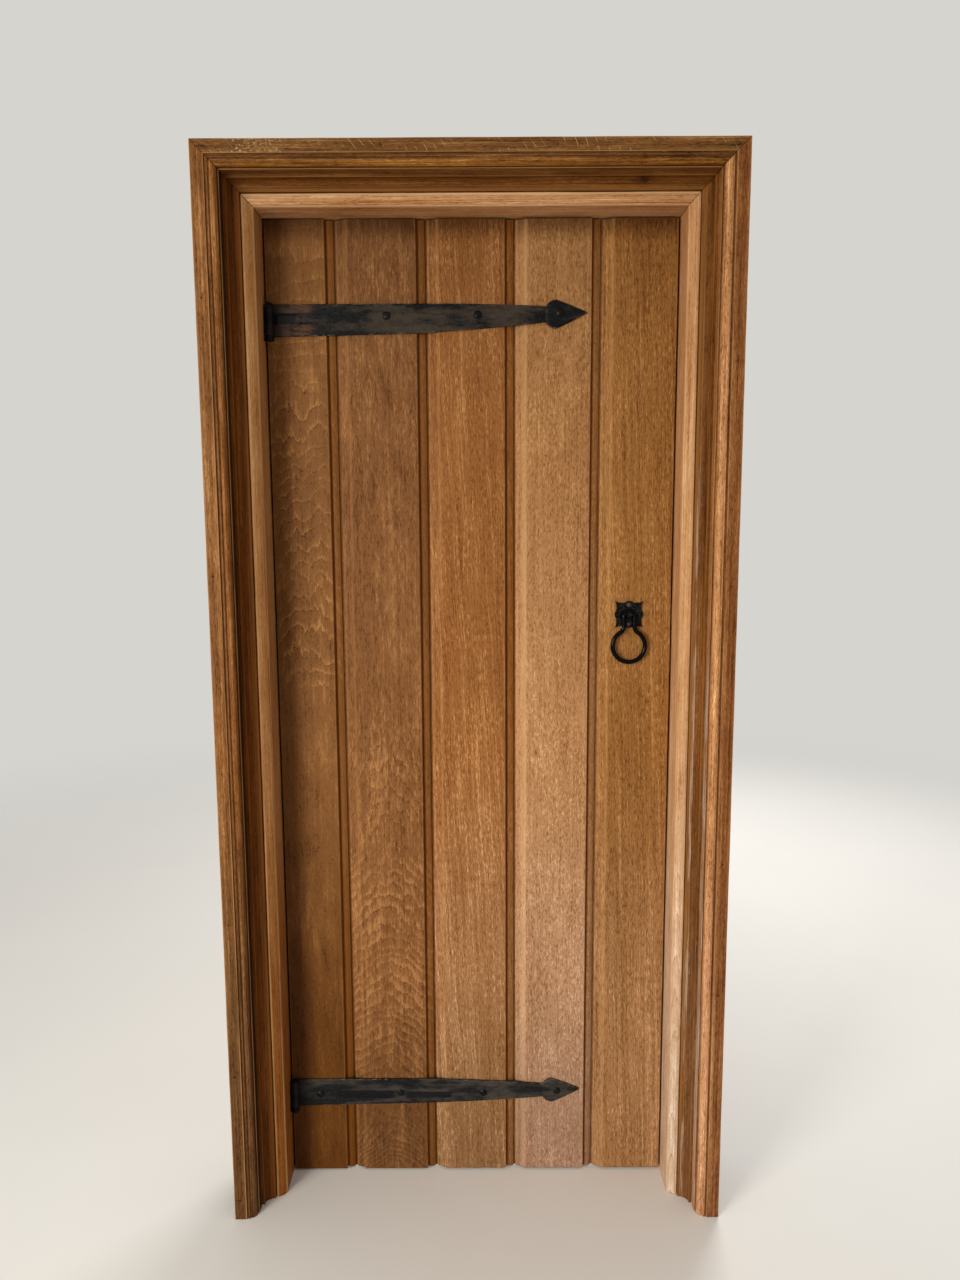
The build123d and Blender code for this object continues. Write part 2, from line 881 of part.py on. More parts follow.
spring_start = case_start + case_end + spring_wire + spring_gap
spring_end = ball_x - sqrt(ball_radius**2 - spring_radius**2) - spring_wire - spring_gap
spring_span = spring_end - spring_start
with BuildPart() as catch_spring:
    with BuildLine():
        coil = Helix(
            pitch=spring_span / spring_turns,
            height=spring_span,
            radius=spring_radius,
            center=(spring_start, catch_y, ring_height),
            direction=(1, 0, 0),
        )
    with BuildSketch(Plane(origin=coil @ 0, z_dir=coil % 0)):
        Circle(spring_wire)
    sweep(is_frenet=True)
finish(catch_spring.part, "catch_spring")

with BuildPart() as strike_plate:
    with BuildSketch(Plane(origin=(half_opening, catch_y, ring_height), x_dir=(0, 1, 0), z_dir=(-1, 0, 0))):
        RectangleRounded(strike_width, strike_height, strike_corner)
        Circle(strike_hole_radius, mode=Mode.SUBTRACT)
    extrude(amount=strike_thickness)
    with Locations([Plane(origin=(strike_face, catch_y, z), z_dir=(-1, 0, 0)) for z in strike_screw_places]):
        CounterSinkHole(
            radius=strike_screw_radius + shank_fit,
            counter_sink_radius=strike_screw_head_radius,
            depth=strike_thickness,
            counter_sink_angle=countersink_angle,
        )
finish(strike_plate.part, "strike_plate")

fasteners(
    screw(strike_screw_head_radius, strike_screw_radius, strike_thickness + strike_screw_length),
    [Plane(origin=(strike_face, catch_y, z), z_dir=(-1, 0, 0)) for z in strike_screw_places],
    "strike_screws",
)
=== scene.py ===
import math

import bmesh
import bpy
from mathutils import Euler, Matrix, Vector, noise
from mathutils.bvhtree import BVHTree


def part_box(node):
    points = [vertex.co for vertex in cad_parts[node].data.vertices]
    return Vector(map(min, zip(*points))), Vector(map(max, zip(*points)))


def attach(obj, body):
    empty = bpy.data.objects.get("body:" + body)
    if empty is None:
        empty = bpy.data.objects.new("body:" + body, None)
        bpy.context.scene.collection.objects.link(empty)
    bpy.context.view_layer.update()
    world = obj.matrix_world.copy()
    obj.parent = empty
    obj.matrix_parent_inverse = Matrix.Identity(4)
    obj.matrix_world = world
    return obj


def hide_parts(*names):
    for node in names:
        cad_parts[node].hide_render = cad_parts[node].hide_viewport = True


# Looks of a ledged and braced oak door in its moulded frame. Lengths are in metres.

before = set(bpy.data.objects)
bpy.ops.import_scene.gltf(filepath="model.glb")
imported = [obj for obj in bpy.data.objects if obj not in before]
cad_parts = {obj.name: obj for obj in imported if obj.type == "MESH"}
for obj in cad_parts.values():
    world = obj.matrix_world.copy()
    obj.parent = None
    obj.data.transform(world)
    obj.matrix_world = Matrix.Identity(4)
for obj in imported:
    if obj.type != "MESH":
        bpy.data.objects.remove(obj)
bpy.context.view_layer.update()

# Places read from the frame
half_opening = -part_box("lining_left")[1].x
strap_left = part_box("strap_top")[0].x
opening_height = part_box("lining_head")[0].z
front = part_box("architrave_left")[0].y
architrave_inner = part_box("architrave_right")[0].x
door_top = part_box("board_1")[1].z

# How the timber is worked
weld = 1e-6
smooth_turn = math.radians(20)
plain_arris = 0.0009
lining_arris = 0.0026
arris_share = 0.4
arris_steps = 0.0, 0.25, 0.5, 0.75, 1.0
plain_rim = 0.0016
lining_rim = 0.003
rebate_depth = 0.006
rebate_hollow = 0.64
scoop_start = 0.0085
scoop_depth = rebate_depth + 2 * plain_arris
station_step = 0.02
flat_step = 0.008
hold_step = 0.0012
sway_depth = 0.00035
sway_grain = 9
worn_depth = 0.0004
worn_share = 0.3
chip_grain = 60
chip_grain_along = 23
groove_reach = 0.012
full_hollow = 0.004
hollow_spread = 1.2
end_line = 0.0012
mitre_gap = 0.0002
bore_sides = 20
bore_fit = 0.0001


# Timber members, drawn out along the outline of their own ends


def end_outline(node, facing):
    """Corners of the end of a node that faces that way, in order round it."""
    mesh = bmesh.new()
    mesh.from_mesh(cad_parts[node].data)
    bmesh.ops.remove_doubles(mesh, verts=mesh.verts, dist=weld)
    facing = Vector(facing).normalized()
    reach = max(v.co.dot(facing) for v in mesh.verts)
    end = {f for f in mesh.faces if all(reach - v.co.dot(facing) < weld for v in f.verts)}
    beside = {}
    for edge in mesh.edges:
        if sum(f in end for f in edge.link_faces) == 1:
            for v in edge.verts:
                beside.setdefault(v, []).append(edge.other_vert(v))
    start = here = min(beside, key=lambda v: (v.co.y, v.co.x, v.co.z))
    before, corners = None, []
    while not corners or here is not start:
        corners.append(here.co.copy())
        before, here = here, next(v for v in beside[here] if v is not before)
    mesh.free()
    return corners


def worked_outline(corners, arris=plain_arris, rim_reach=plain_rim):
    """A plane outline with rounded arrises and divided edges: (point, outward, hollow, edge, rim, scoop).

    Hollow says how deep in a groove the point lies, edge whether it is on an outer arris, rim how near it
    is to one, all 0 to 1. Scoop, for the scooped edge of a board, is 0 here."""
    area = sum(a.cross(b) for a, b in zip(corners, corners[1:] + corners[:1]))
    if area < 0:
        corners = corners[::-1]
    count = len(corners)
    rounded = []
    for i, corner in enumerate(corners):
        before, after = corners[i - 1], corners[(i + 1) % count]
        turn = (corner - before).angle(after - corner)
        if turn < smooth_turn:
            rounded.append((corner, 0.0))
            continue
        outer = 1.0 if (corner - before).cross(after - corner) > 0 else 0.0
        back = min(arris, arris_share * (corner - before).length, arris_share * (after - corner).length)
        into = corner + (before - corner).normalized() * back
        out = corner + (after - corner).normalized() * back
        for share in arris_steps:
            point = into * (1 - share) ** 2 + corner * 2 * share * (1 - share) + out * share**2
            rounded.append((point, outer))
    divided = []
    for (a, a_edge), (b, _) in zip(rounded, rounded[1:] + rounded[:1]):
        divided.append((a, a_edge))
        length = (b - a).length
        if length > flat_step:
            cuts = max(1, round((length - 2 * hold_step) / flat_step))
            inner = (b - a) * (hold_step / length)
            for k in range(cuts + 1):
                divided.append(((a + inner).lerp(b - inner, k / cuts), 0.0))
    arrises = [point for point, edge in divided if edge]
    points = []
    for i, (point, edge) in enumerate(divided):
        along = divided[(i + 1) % len(divided)][0] - divided[i - 1][0]
        outward = Vector((along.y, -along.x)).normalized()
        hollow = 0.0
        for other, _ in divided:
            gap = other - point
            rise = gap.dot(outward)
            if rise > weld and gap.length < groove_reach:
                aside = (gap - outward * rise).length
                hollow = max(hollow, min(1.0, rise / full_hollow) * (1 - aside / (hollow_spread * rise)))
        rim = max([0.0] + [1 - (other - point).length / rim_reach for other in arrises])
        points.append((point, outward, hollow, edge, rim, 0.0))
    return points


def soft_noise(x, y, z):
    """Noise of about 0 to 1."""
    return 0.5 + 0.5 * noise.noise(Vector((x, y, z)))


def timber(node, outline, place, length, seed):
    """A member drawn out: its outline carried along its length, a little uneven and worn."""
    stations = max(2, round(length / station_step))
    shares = [k / stations for k in range(stations + 1)]
    shares[1:1] = [end_line / length]
    shares[-1:-1] = [1 - end_line / length]
    mesh = bmesh.new()
    layers = [mesh.verts.layers.float.new(name) for name in ("hollow", "rim", "scoop", "end")]
    rings = []
    for share in shares:
        along = share * length
        ring = []
        for point, outward, hollow, edge, rim, scoop in outline:
            x, y = point
            inward = sway_depth * soft_noise(x * sway_grain, y * sway_grain, along * sway_grain + seed)
            if edge:
                where = Vector((x * chip_grain + seed, y * chip_grain, along * chip_grain_along))
                inward += worn_depth * max(0.0, worn_share + noise.noise(where))
            moved = point - outward * min(inward, sway_depth + worn_depth)
            vert = mesh.verts.new(place(moved, share))
            for layer, value in zip(layers, (hollow, rim, scoop, float(share in (0.0, 1.0)))):
                vert[layer] = value
            ring.append(vert)
        rings.append(ring)
    return skin(mesh, rings, f"{node}_timber")


def skin(mesh, rings, name):
    """A closed piece over rings of vertices, with a flat face at each end."""
    for low, high in zip(rings, rings[1:]):
        for i in range(len(low)):
            j = (i + 1) % len(low)
            mesh.faces.new((low[i], low[j], high[j], high[i]))
    mesh.faces.new(rings[0][::-1])
    mesh.faces.new(rings[-1])
    bmesh.ops.recalc_face_normals(mesh, faces=mesh.faces)
    for face in mesh.faces:
        face.smooth = len(face.verts) == 4
    return new_piece(name, mesh)


def new_piece(name, mesh):
    data = bpy.data.meshes.new(name)
    mesh.to_mesh(data)
    mesh.free()
    piece = bpy.data.objects.new(name, data)
    bpy.context.scene.collection.objects.link(piece)
    return piece


def stand_in(piece, node, body):
    """Let a piece take the place of its node on a body."""
    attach(piece, body)
    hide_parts(node)


def solid_boxes(node):
    """The lowest and highest corner of each separate solid of a node."""
    mesh = bmesh.new()
    mesh.from_mesh(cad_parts[node].data)
    bmesh.ops.remove_doubles(mesh, verts=mesh.verts, dist=weld)
    left, boxes = set(mesh.verts), []
    while left:
        group, queue = [], [left.pop()]
        while queue:
            here = queue.pop()
            group.append(here.co.copy())
            for edge in here.link_edges:
                other = edge.other_vert(here)
                if other in left:
                    left.remove(other)
                    queue.append(other)
        boxes.append(tuple(Vector(pick(v[i] for v in group) for i in range(3)) for pick in (min, max)))
    mesh.free()
    return boxes


def bore(piece, holes):
    """Cut round holes in a piece. A hole is (middle of its mouth, direction, radius, depth)."""
    if not holes:
        return
    drill = bmesh.new()
    for mouth, direction, radius, depth in holes:
        turn = direction.to_track_quat("Z", "Y").to_matrix().to_4x4()
        bmesh.ops.create_cone(
            drill, cap_ends=True, segments=bore_sides, radius1=radius, radius2=radius, depth=2 * depth,
            matrix=Matrix.Translation(mouth) @ turn,
        )
    tool = new_piece("drill", drill)
    cut = piece.modifiers.new("bore", "BOOLEAN")
    cut.operation = "DIFFERENCE"
    cut.solver = "EXACT"
    cut.object = tool
    whole = piece.data
    bored = bpy.data.meshes.new_from_object(piece.evaluated_get(bpy.context.evaluated_depsgraph_get()))
    piece.modifiers.clear()
    piece.data = bored
    bored.name = whole.name
    bpy.data.meshes.remove(whole)
    bpy.data.objects.remove(tool)


def arris_of(node):
    """How far an arris is rounded, and how far its wear reaches."""
    return (lining_arris, lining_rim) if node.startswith("lining") else (plain_arris, plain_rim)


def upright(node, seed):
    """An upright of the frame, mitred at its top."""
    outline = worked_outline([Vector((c.x, c.y)) for c in end_outline(node, (0, 0, -1))], *arris_of(node))

    def place(point, share):
        top = opening_height + abs(point.x) - half_opening - mitre_gap
        return (point.x, point.y, top * share)

    return timber(node, outline, place, opening_height, seed)


def crosspiece(node, seed):
    """A member over the doorway, mitred at both ends."""
    outline = worked_outline([Vector((c.z, c.y)) for c in end_outline(node, (-1, 0, -1))], *arris_of(node))

    def place(point, share):
        end = half_opening + point.x - opening_height - mitre_gap
        return (end * (2 * share - 1), point.y, point.x)

    return timber(node, outline, place, 2 * half_opening, seed)


def board(node, seed):
    """A board of the leaf. The rebate with the bead, to the right of its face, is darkened all over: grime
    and painted shade.
    """
    low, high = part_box(node)
    corners = [Vector((c.x, c.y)) for c in end_outline(node, (0, 0, -1))]
    face_left = min(c.x for c in corners if c.y < low.y + weld)
    face_right = max(c.x for c in corners if c.y < low.y + weld)
    outline = []
    for point, outward, hollow, edge, rim, scoop in worked_outline(corners):
        if high.x - face_right > groove_reach and point.x > face_right:
            hollow = max(hollow, rebate_hollow * min(1.0, (point.y - low.y) / rebate_depth))
        if face_left - low.x > groove_reach and low.x + scoop_start < point.x < face_left - weld:
            scoop = 1.0 if point.y < low.y + scoop_depth else 0.0
        outline.append((point, outward, hollow, edge, rim, scoop))

    def place(point, share):
        return (point.x, point.y, low.z + (high.z - low.z) * share)

    return timber(node, outline, place, high.z - low.z, seed)


# Straps, each one strip of iron: rolled round the pin, then hammered flat out to the spear head

roll_start = math.radians(15)
roll_turn = 1.5 * math.pi
roll_step = math.radians(4)
roll_wear = 0.00025
roll_wear_grain = 6, 120
plate_step = 0.002
head_step = 0.001
head_reach = 0.09
tip_reach = head_step / 4
tip_gap = head_step / 5
probe_along = 0.2
probe_up = 0.012
face_step = 0.0016
least_rows = 8
back_rows = 6
edge_insets = 0.0, 0.0004, 0.0009, 0.0016
full_height = 0.008
edge_drop = 0.0008
edge_share = 0.4
edge_sway = 0.0005
sway_height = 0.02
strap_grain = 38
other_edge = 9
hammer_depth = 0.0005
hammer_grain = 62, 75
fine_grain = 190, 210
hammer_level, hammer_rough, hammer_fine = 0.45, 0.8, 0.25
head_hammer = 1.6
dent_ragged = 0.12
dent_reach = 1.15
dent_slope = 0.15
face_margin = 0.0002
search_step = 0.002
bisections = 12
soft_reach = 0.0011


def strap_face(node):
    """Functions for the edges and the front of a strap's CAD solid."""
    mesh = bmesh.new()
    mesh.from_mesh(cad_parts[node].data)
    shape = BVHTree.FromBMesh(mesh)
    mesh.free()
    low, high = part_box(node)

    def front_at(x, z):
        hit = shape.ray_cast(Vector((x, low.y - search_step, z)), Vector((0, 1, 0)))[0]
        return hit.y if hit else None

    def soft_front(x, z):
        """The front's depth, averaged over the points around."""
        places = [(x + a * soft_reach, z + b * soft_reach) for a in (-1, 0, 1) for b in (-1, 0, 1)]
        depths = [front_at(*place) for place in places]
        depths = [depth for depth in depths if depth is not None]
        return sum(depths) / len(depths) if depths else None

    def edge_at(x, side):
        outside = high.z if side > 0 else low.z
        inside = outside
        while front_at(x, inside) is None:
            outside = inside
            inside -= side * search_step
            if not low.z < inside < high.z:
                return None
        for _ in range(bisections):
            middle = (inside + outside) / 2
            if front_at(x, middle) is None:
                outside = middle
            else:
                inside = middle
        return inside

    return front_at, edge_at, soft_front


def strap(node, seed, dents):
    """A strap that replaces its node. A dent is (along, up, length, height, depth) from the eye's axis."""
    low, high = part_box(node)
    front_at, edge_at, soft_front = strap_face(node)
    roll_radius = (high.y - low.y) / 2
    axis = Vector((low.x + roll_radius, high.y - roll_radius))
    middle = (low.z + high.z) / 2
    probe = low.x + probe_along
    face = front_at(probe, edge_at(probe, -1) + probe_up)
    eye_radius = roll_radius - (high.y - face)

    def rolled(radius, angle, z):
        """A place on the roll."""
        return Vector((axis.x + radius * math.cos(angle), axis.y + radius * math.sin(angle), z))

    # Stations: round the roll, then along the plate
    stations = []
    turns = math.ceil((roll_start + roll_turn) / roll_step)
    roll_edges = edge_at(axis.x, -1), edge_at(axis.x, 1)
    for k in range(turns):
        angle = roll_start - k * (roll_start + roll_turn) / turns
        stations.append((None, angle, *roll_edges))
    x = axis.x
    while x < high.x - tip_reach:
        edges = edge_at(x, -1), edge_at(x, 1)
        if None not in edges:
            stations.append((x, None, *edges))
        x += head_step if x > high.x - head_reach else plate_step
        x = min(x, high.x - tip_gap) if x < high.x + head_step else x

    rows = max(least_rows, round((roll_edges[1] - roll_edges[0]) / face_step))
    mesh = bmesh.new()
    edge_layer = mesh.verts.layers.float.new("edge")
    dent_layer = mesh.verts.layers.float.new("dent")
    rings = []
    for k, (x, angle, bottom, top) in enumerate(stations):
        run = (x if angle is None else axis.x - (turns - k) * roll_step * roll_radius) * strap_grain + seed
        top -= edge_sway * soft_noise(run, 0, seed) * min(1, (top - bottom) / sway_height)
        bottom += edge_sway * soft_noise(run, other_edge, seed) * min(1, (top - bottom) / sway_height)
        height = top - bottom
        insets = [inset * min(1.0, height / full_height) for inset in edge_insets]
        levels = [bottom + inset for inset in insets]
        for n in range(1, rows):
            levels.append(bottom + insets[-1] + (height - 2 * insets[-1]) * n / rows)
        levels += [top - inset for inset in insets[::-1]]
        ring = []
        for z in levels:
            inset = min(z - bottom, top - z)
            near = max(0.0, 1 - inset / edge_insets[-1])
            sink, dented = edge_drop * near**2, 0.0
            if angle is None:
                rough = noise.noise(Vector((x * hammer_grain[0] + seed, z * hammer_grain[1], seed)))
                fine = noise.noise(Vector((x * fine_grain[0], z * fine_grain[1], seed)))
                beaten = head_hammer if x > high.x - head_reach else 1.0
                marks = max(0.0, hammer_level + hammer_rough * rough + hammer_fine * fine)
                sink += beaten * hammer_depth * marks
                for along, up, length, tall, depth in dents:
                    over = max(abs(x - axis.x - along) / length, abs(z - middle - up) / tall) * 2
                    over += dent_ragged * rough
                    inside = min(1.0, max(0.0, (dent_reach - over) / dent_slope))
                    sink += depth * inside
                    dented = max(dented, inside)
                start = face
                if x > axis.x + roll_radius:
                    start = soft_front(x, min(max(z, bottom + face_margin), top - face_margin)) or face
                place = Vector((x, start + sink, z))
            else:
                place = rolled(eye_radius + sink, angle, z)
            vert = mesh.verts.new(place)
            vert[edge_layer] = 1.0 if near > edge_share else 0.0
            vert[dent_layer] = dented
            ring.append(vert)
        for n in range(back_rows + 1):
            z = top - height * n / back_rows
            if angle is None:
                place = Vector((x, high.y, z))
            else:
                worn = roll_wear * soft_noise(run * roll_wear_grain[0], z * roll_wear_grain[1], seed)
                worn += edge_drop if n in (0, back_rows) else 0.0
                place = rolled(roll_radius - worn, angle, z)
            ring.append(mesh.verts.new(place))
        rings.append(ring)
    piece = skin(mesh, rings, f"{node}_forged")
    stand_in(piece, node, "door")
    return piece


# Materials, built from short calls. A value is a socket, a number or a colour.


class Nodes:
    def __init__(self, owner):
        owner.use_nodes = True
        self.tree = owner.node_tree

    def node(self, kind, **settings):
        node = self.tree.nodes.new(kind)
        for key, value in settings.items():
            setattr(node, key, value)
        return node

    def put(self, socket, value):
        if isinstance(value, bpy.types.NodeSocket):
            self.tree.links.new(value, socket)
        else:
            socket.default_value = value

    def fill(self, node, *values):
        """Give a node's first inputs their values."""
        for socket, value in zip(node.inputs, values):
            self.put(socket, value)
        return node

    def give(self, node, values):
        """Give a node's inputs their values by name."""
        for name, value in values.items():
            self.put(node.inputs[name], value)

    def math(self, operation, *values):
        return self.fill(self.node("ShaderNodeMath", operation=operation), *values).outputs[0]


class Paint(Nodes):
    def __init__(self, name):
        self.material = bpy.data.materials.new(name)
        super().__init__(self.material)
        self.shader = self.tree.nodes["Principled BSDF"]
        self.place = self.node("ShaderNodeTexCoord").outputs["Object"]

    def times(self, first, *others):
        for other in others:
            first = self.math("MULTIPLY", first, other)
        return first

    def plus(self, first, *others):
        for other in others:
            first = self.math("ADD", first, other)
        return first

    def scaled(self, value, factor, added):
        return self.math("MULTIPLY_ADD", value, factor, added)

    def apart(self, value, other):
        return self.math("ABSOLUTE", self.math("SUBTRACT", value, other))

    def vector(self, operation, a, b):
        return self.fill(self.node("ShaderNodeVectorMath", operation=operation), a, b).outputs[0]

    def split(self, vector):
        return self.fill(self.node("ShaderNodeSeparateXYZ"), vector).outputs[:3]

    def join(self, x, y, z):
        return self.fill(self.node("ShaderNodeCombineXYZ"), x, y, z).outputs[0]

    def attribute(self, name):
        return self.node("ShaderNodeAttribute", attribute_name=name).outputs["Fac"]

    def noise(self, place, stretch, detail, roughness):
        node = self.node("ShaderNodeTexNoise")
        place = self.vector("MULTIPLY", place, stretch)
        self.give(node, {"Vector": place, "Scale": 1.0, "Detail": detail, "Roughness": roughness})
        return node.outputs["Fac"]

    def field(self, kind, place=None):
        """One of the noise fields named below."""
        return self.noise(self.place if place is None else place, *fields[kind])

    def band(self, value, low, high):
        """0 below low, 1 above high and smooth between. With low above high it falls instead."""
        node = self.node("ShaderNodeMapRange", interpolation_type="SMOOTHSTEP")
        self.give(node, {"Value": value, "From Min": min(low, high), "From Max": max(low, high)})
        self.give(node, {"To Min": float(low > high), "To Max": float(low < high)})
        return node.outputs["Result"]

    def step(self, value, kind):
        """A band between the limits named below."""
        return self.band(value, *steps[kind])

    def zone(self, value, low, high, rise, fall=None):
        """1 between low and high, with soft ends inside them."""
        return self.times(self.band(value, low, low + rise), self.band(value, high, high - (fall or rise)))

    def mix(self, share, a, b, blend="MIX"):
        node = self.node("ShaderNodeMix", data_type="RGBA", blend_type=blend)
        colours = [socket for socket in node.inputs if socket.type == "RGBA"]
        self.put(node.inputs[0], share)
        self.put(colours[0], a)
        self.put(colours[1], b)
        return next(socket for socket in node.outputs if socket.type == "RGBA")

    def tinted(self, share, colour, tint):
        """A colour multiplied by a tint of three values."""
        return self.mix(share, colour, (*tint, 1.0), "MULTIPLY")

    def bump(self, height, strength, distance, after=None):
        node = self.node("ShaderNodeBump")
        self.give(node, {"Strength": strength, "Distance": distance, "Height": height})
        if after is not None:
            self.put(node.inputs["Normal"], after)
        return node.outputs["Normal"]

    def finish(self, colour, roughness, normal, metallic=0.0):
        looks = {"Base Color": colour, "Roughness": roughness, "Normal": normal, "Metallic": metallic}
        self.give(self.shader, looks)
        return self.material


def shade(red, green, blue):
    """A colour given as it looks on a screen, 0 to 255, in the linear values that a shader takes."""
    def linear(value):
        value /= 255
        return value / 12.92 if value <= 0.04045 else ((value + 0.055) / 1.055) ** 2.4
    return (linear(red), linear(green), linear(blue), 1.0)


# Noise fields: stretch, for timber across, through and along the grain, then detail and roughness
fields = {
    "bend": ((24, 24, 7), 2, 0.5), "wiggle": ((130, 130, 45), 1, 0.5), "cloud": ((10, 10, 2.4), 3, 0.6),
    "mottle": ((60, 60, 14), 5, 0.75), "streak": ((170, 170, 3.2), 4, 0.65),
    "pore": ((950, 950, 120), 2, 0.5), "patch": ((22, 22, 9), 2, 0.5),
    "figure drift": ((7, 7, 9), 2, 0.5), "knot": ((220, 220, 160), 3, 0.5),
    "scratch drift": ((20, 20, 3), 2, 0.5), "scratch gaps": ((60, 60, 16), 2, 0.5),
    "plaster": ((210, 210, 20), 4, 0.7), "smear": ((260, 260, 7), 4, 0.65),
    "smear gaps": ((40, 40, 5), 3, 0.6), "spots": ((260, 260, 190), 3, 0.6),
    "iron cloud": ((13, 40, 48), 5, 0.6), "grit": ((520, 520, 520), 3, 0.7),
    "hammer": ((80, 90, 110), 3, 0.5), "glint": ((420, 420, 420), 2, 0.6),
    "rust": ((34, 60, 120), 4, 0.65), "scuff": ((70, 70, 70), 4, 0.7),
    "tarnish": ((180, 180, 180), 3, 0.5), "brushed": ((1500, 1500, 1500), 2, 0.5),
    "floor": ((3, 3, 3), 3, 0.5),
}

# Where a field or a measure starts to show and where it shows fully
steps = {
    "patch": (0.36, 0.6), "pale stroke": (0.53, 0.62), "dark stroke": (0.47, 0.37),
    "pore": (0.44, 0.34), "pore dip": (0.46, 0.3), "middle": (0.0, 0.5), "pale": (0.5, 1.0),
    "top": (1.5, 1.85), "eaves": (door_top - 0.035, door_top + 0.014), "low": (0.95, 0.4),
    "foot": (0.45, 0.12), "knot": (2.6, 1.0), "knot heart": (1.1, 0.6), "grime": (0.1, 0.9),
    "deep": (0.7, 1.0), "wear": (0.05, 0.8), "worn streak": (0.25, 0.55), "scratch": (0.09, 0.02),
    "scratch gaps": (0.5, 0.62), "plaster": (0.3, 0.8), "smear": (0.46, 0.56),
    "smear gaps": (0.36, 0.5), "spots": (0.55, 0.64), "iron wear": (0.5, 0.74), "glint": (0.6, 0.7),
    "rust": (strap_left + 0.122, strap_left + 0.098), "rust flakes": (0.32, 0.56),
    "tongue": (strap_left + 0.058, strap_left + 0.056), "scuff": (0.5, 0.62),
    "soot": (strap_left + 0.055, strap_left + 0.014), "tarnish": (0.35, 0.7),
}

# How a member of oak looks. Tints are three factors, on red, green and blue.
oak_default = {
    "along": "Z",  # the axis of its grain
    "cloud": 0.3, "mottle": 0.3, "streaks": 0.5, "flecks": 0.5, "lines": 0.3,
    "stroke_grain": (540, 540, 84), "line_scale": 420, "slant": 0.003, "lean": 0.0,
    "figures": (),
    "stain": None,  # (from, to, tint) along it
    # top: a factor on the upper part; below 1 it is painted shade
    "top": 1.0,
    # The tint along the top edge is a painted shadow under the head
    "eaves": None,  # the tint of its top edge
    # low: a tint on the lower part, partly painted light bounced from the floor
    "low": (1.0, 1.0, 1.0), "foot": (1.0, 1.0, 1.0),
    "plaster": None,  # (amount, top, colour)
    "smear": None,  # (from, to, top, colour) across it
    "smear_reach": None,  # (from, to) along it, for a smear in spots
    "scratches": None,  # (from, to, colour) across it
    "bands": (),  # each (from, to, tint) across it
    "knots": (),  # each (across, along, radius)
    "arris": 0.8, "arris_colour": None, "scoop": 0.0, "gloss": 0.5, "relief": 0.5,
    # grime darkens grooves, joints and ends: grime and painted shade
    "grime": 0.65, "grime_colour": shade(78, 36, 6), "deep_colour": shade(34, 13, 2),
}

# Weights, spacings and soft ends in the look of oak
tone_weights = {"cloud": 1.3, "mottle": 1.6, "streaks": 0.9, "lines": 1.2}
seed_spread = 1.0, 1.7, 2.3
wiggle_depth = 0.0012
line_grain = 3.5
line_noise = 3, 0.6
stroke_noise = 3, 0.7
figure_noise = 5, 0.72
fleck_tone = 0.5
pore_tone = 0.3
line_height = 0.5
streak_height = 0.4
stroke_height = 0.8
figure_height = 1.2
arch_power = 1.5
line_end = 0.01
figure_ends = 0.1
figure_fade = 0.005
stain_sway = 0.3
eaves_shadow_sway = 0.03
knot_length = 1.5
knot_ragged = 0.9
knot_share = 0.4
heart_share = 0.6
scratch_slope = 0.55
scratch_drift = 0.06
scratch_spacing = 0.017
scratch_ends = 0.002
scratch_share = 0.75
plaster_level = 0.72
plaster_soft = 0.03
plaster_share = 0.15
plaster_in_hollows = 0.6
smear_ends = 0.001
smear_share = 0.8
spot_rise = 0.02
spot_fall = 0.03
fade_below = 0.2
stroke_gloss = 0.25
gloss_base = 0.1
grain_depth = 0.0008
oak_specular = 0.09


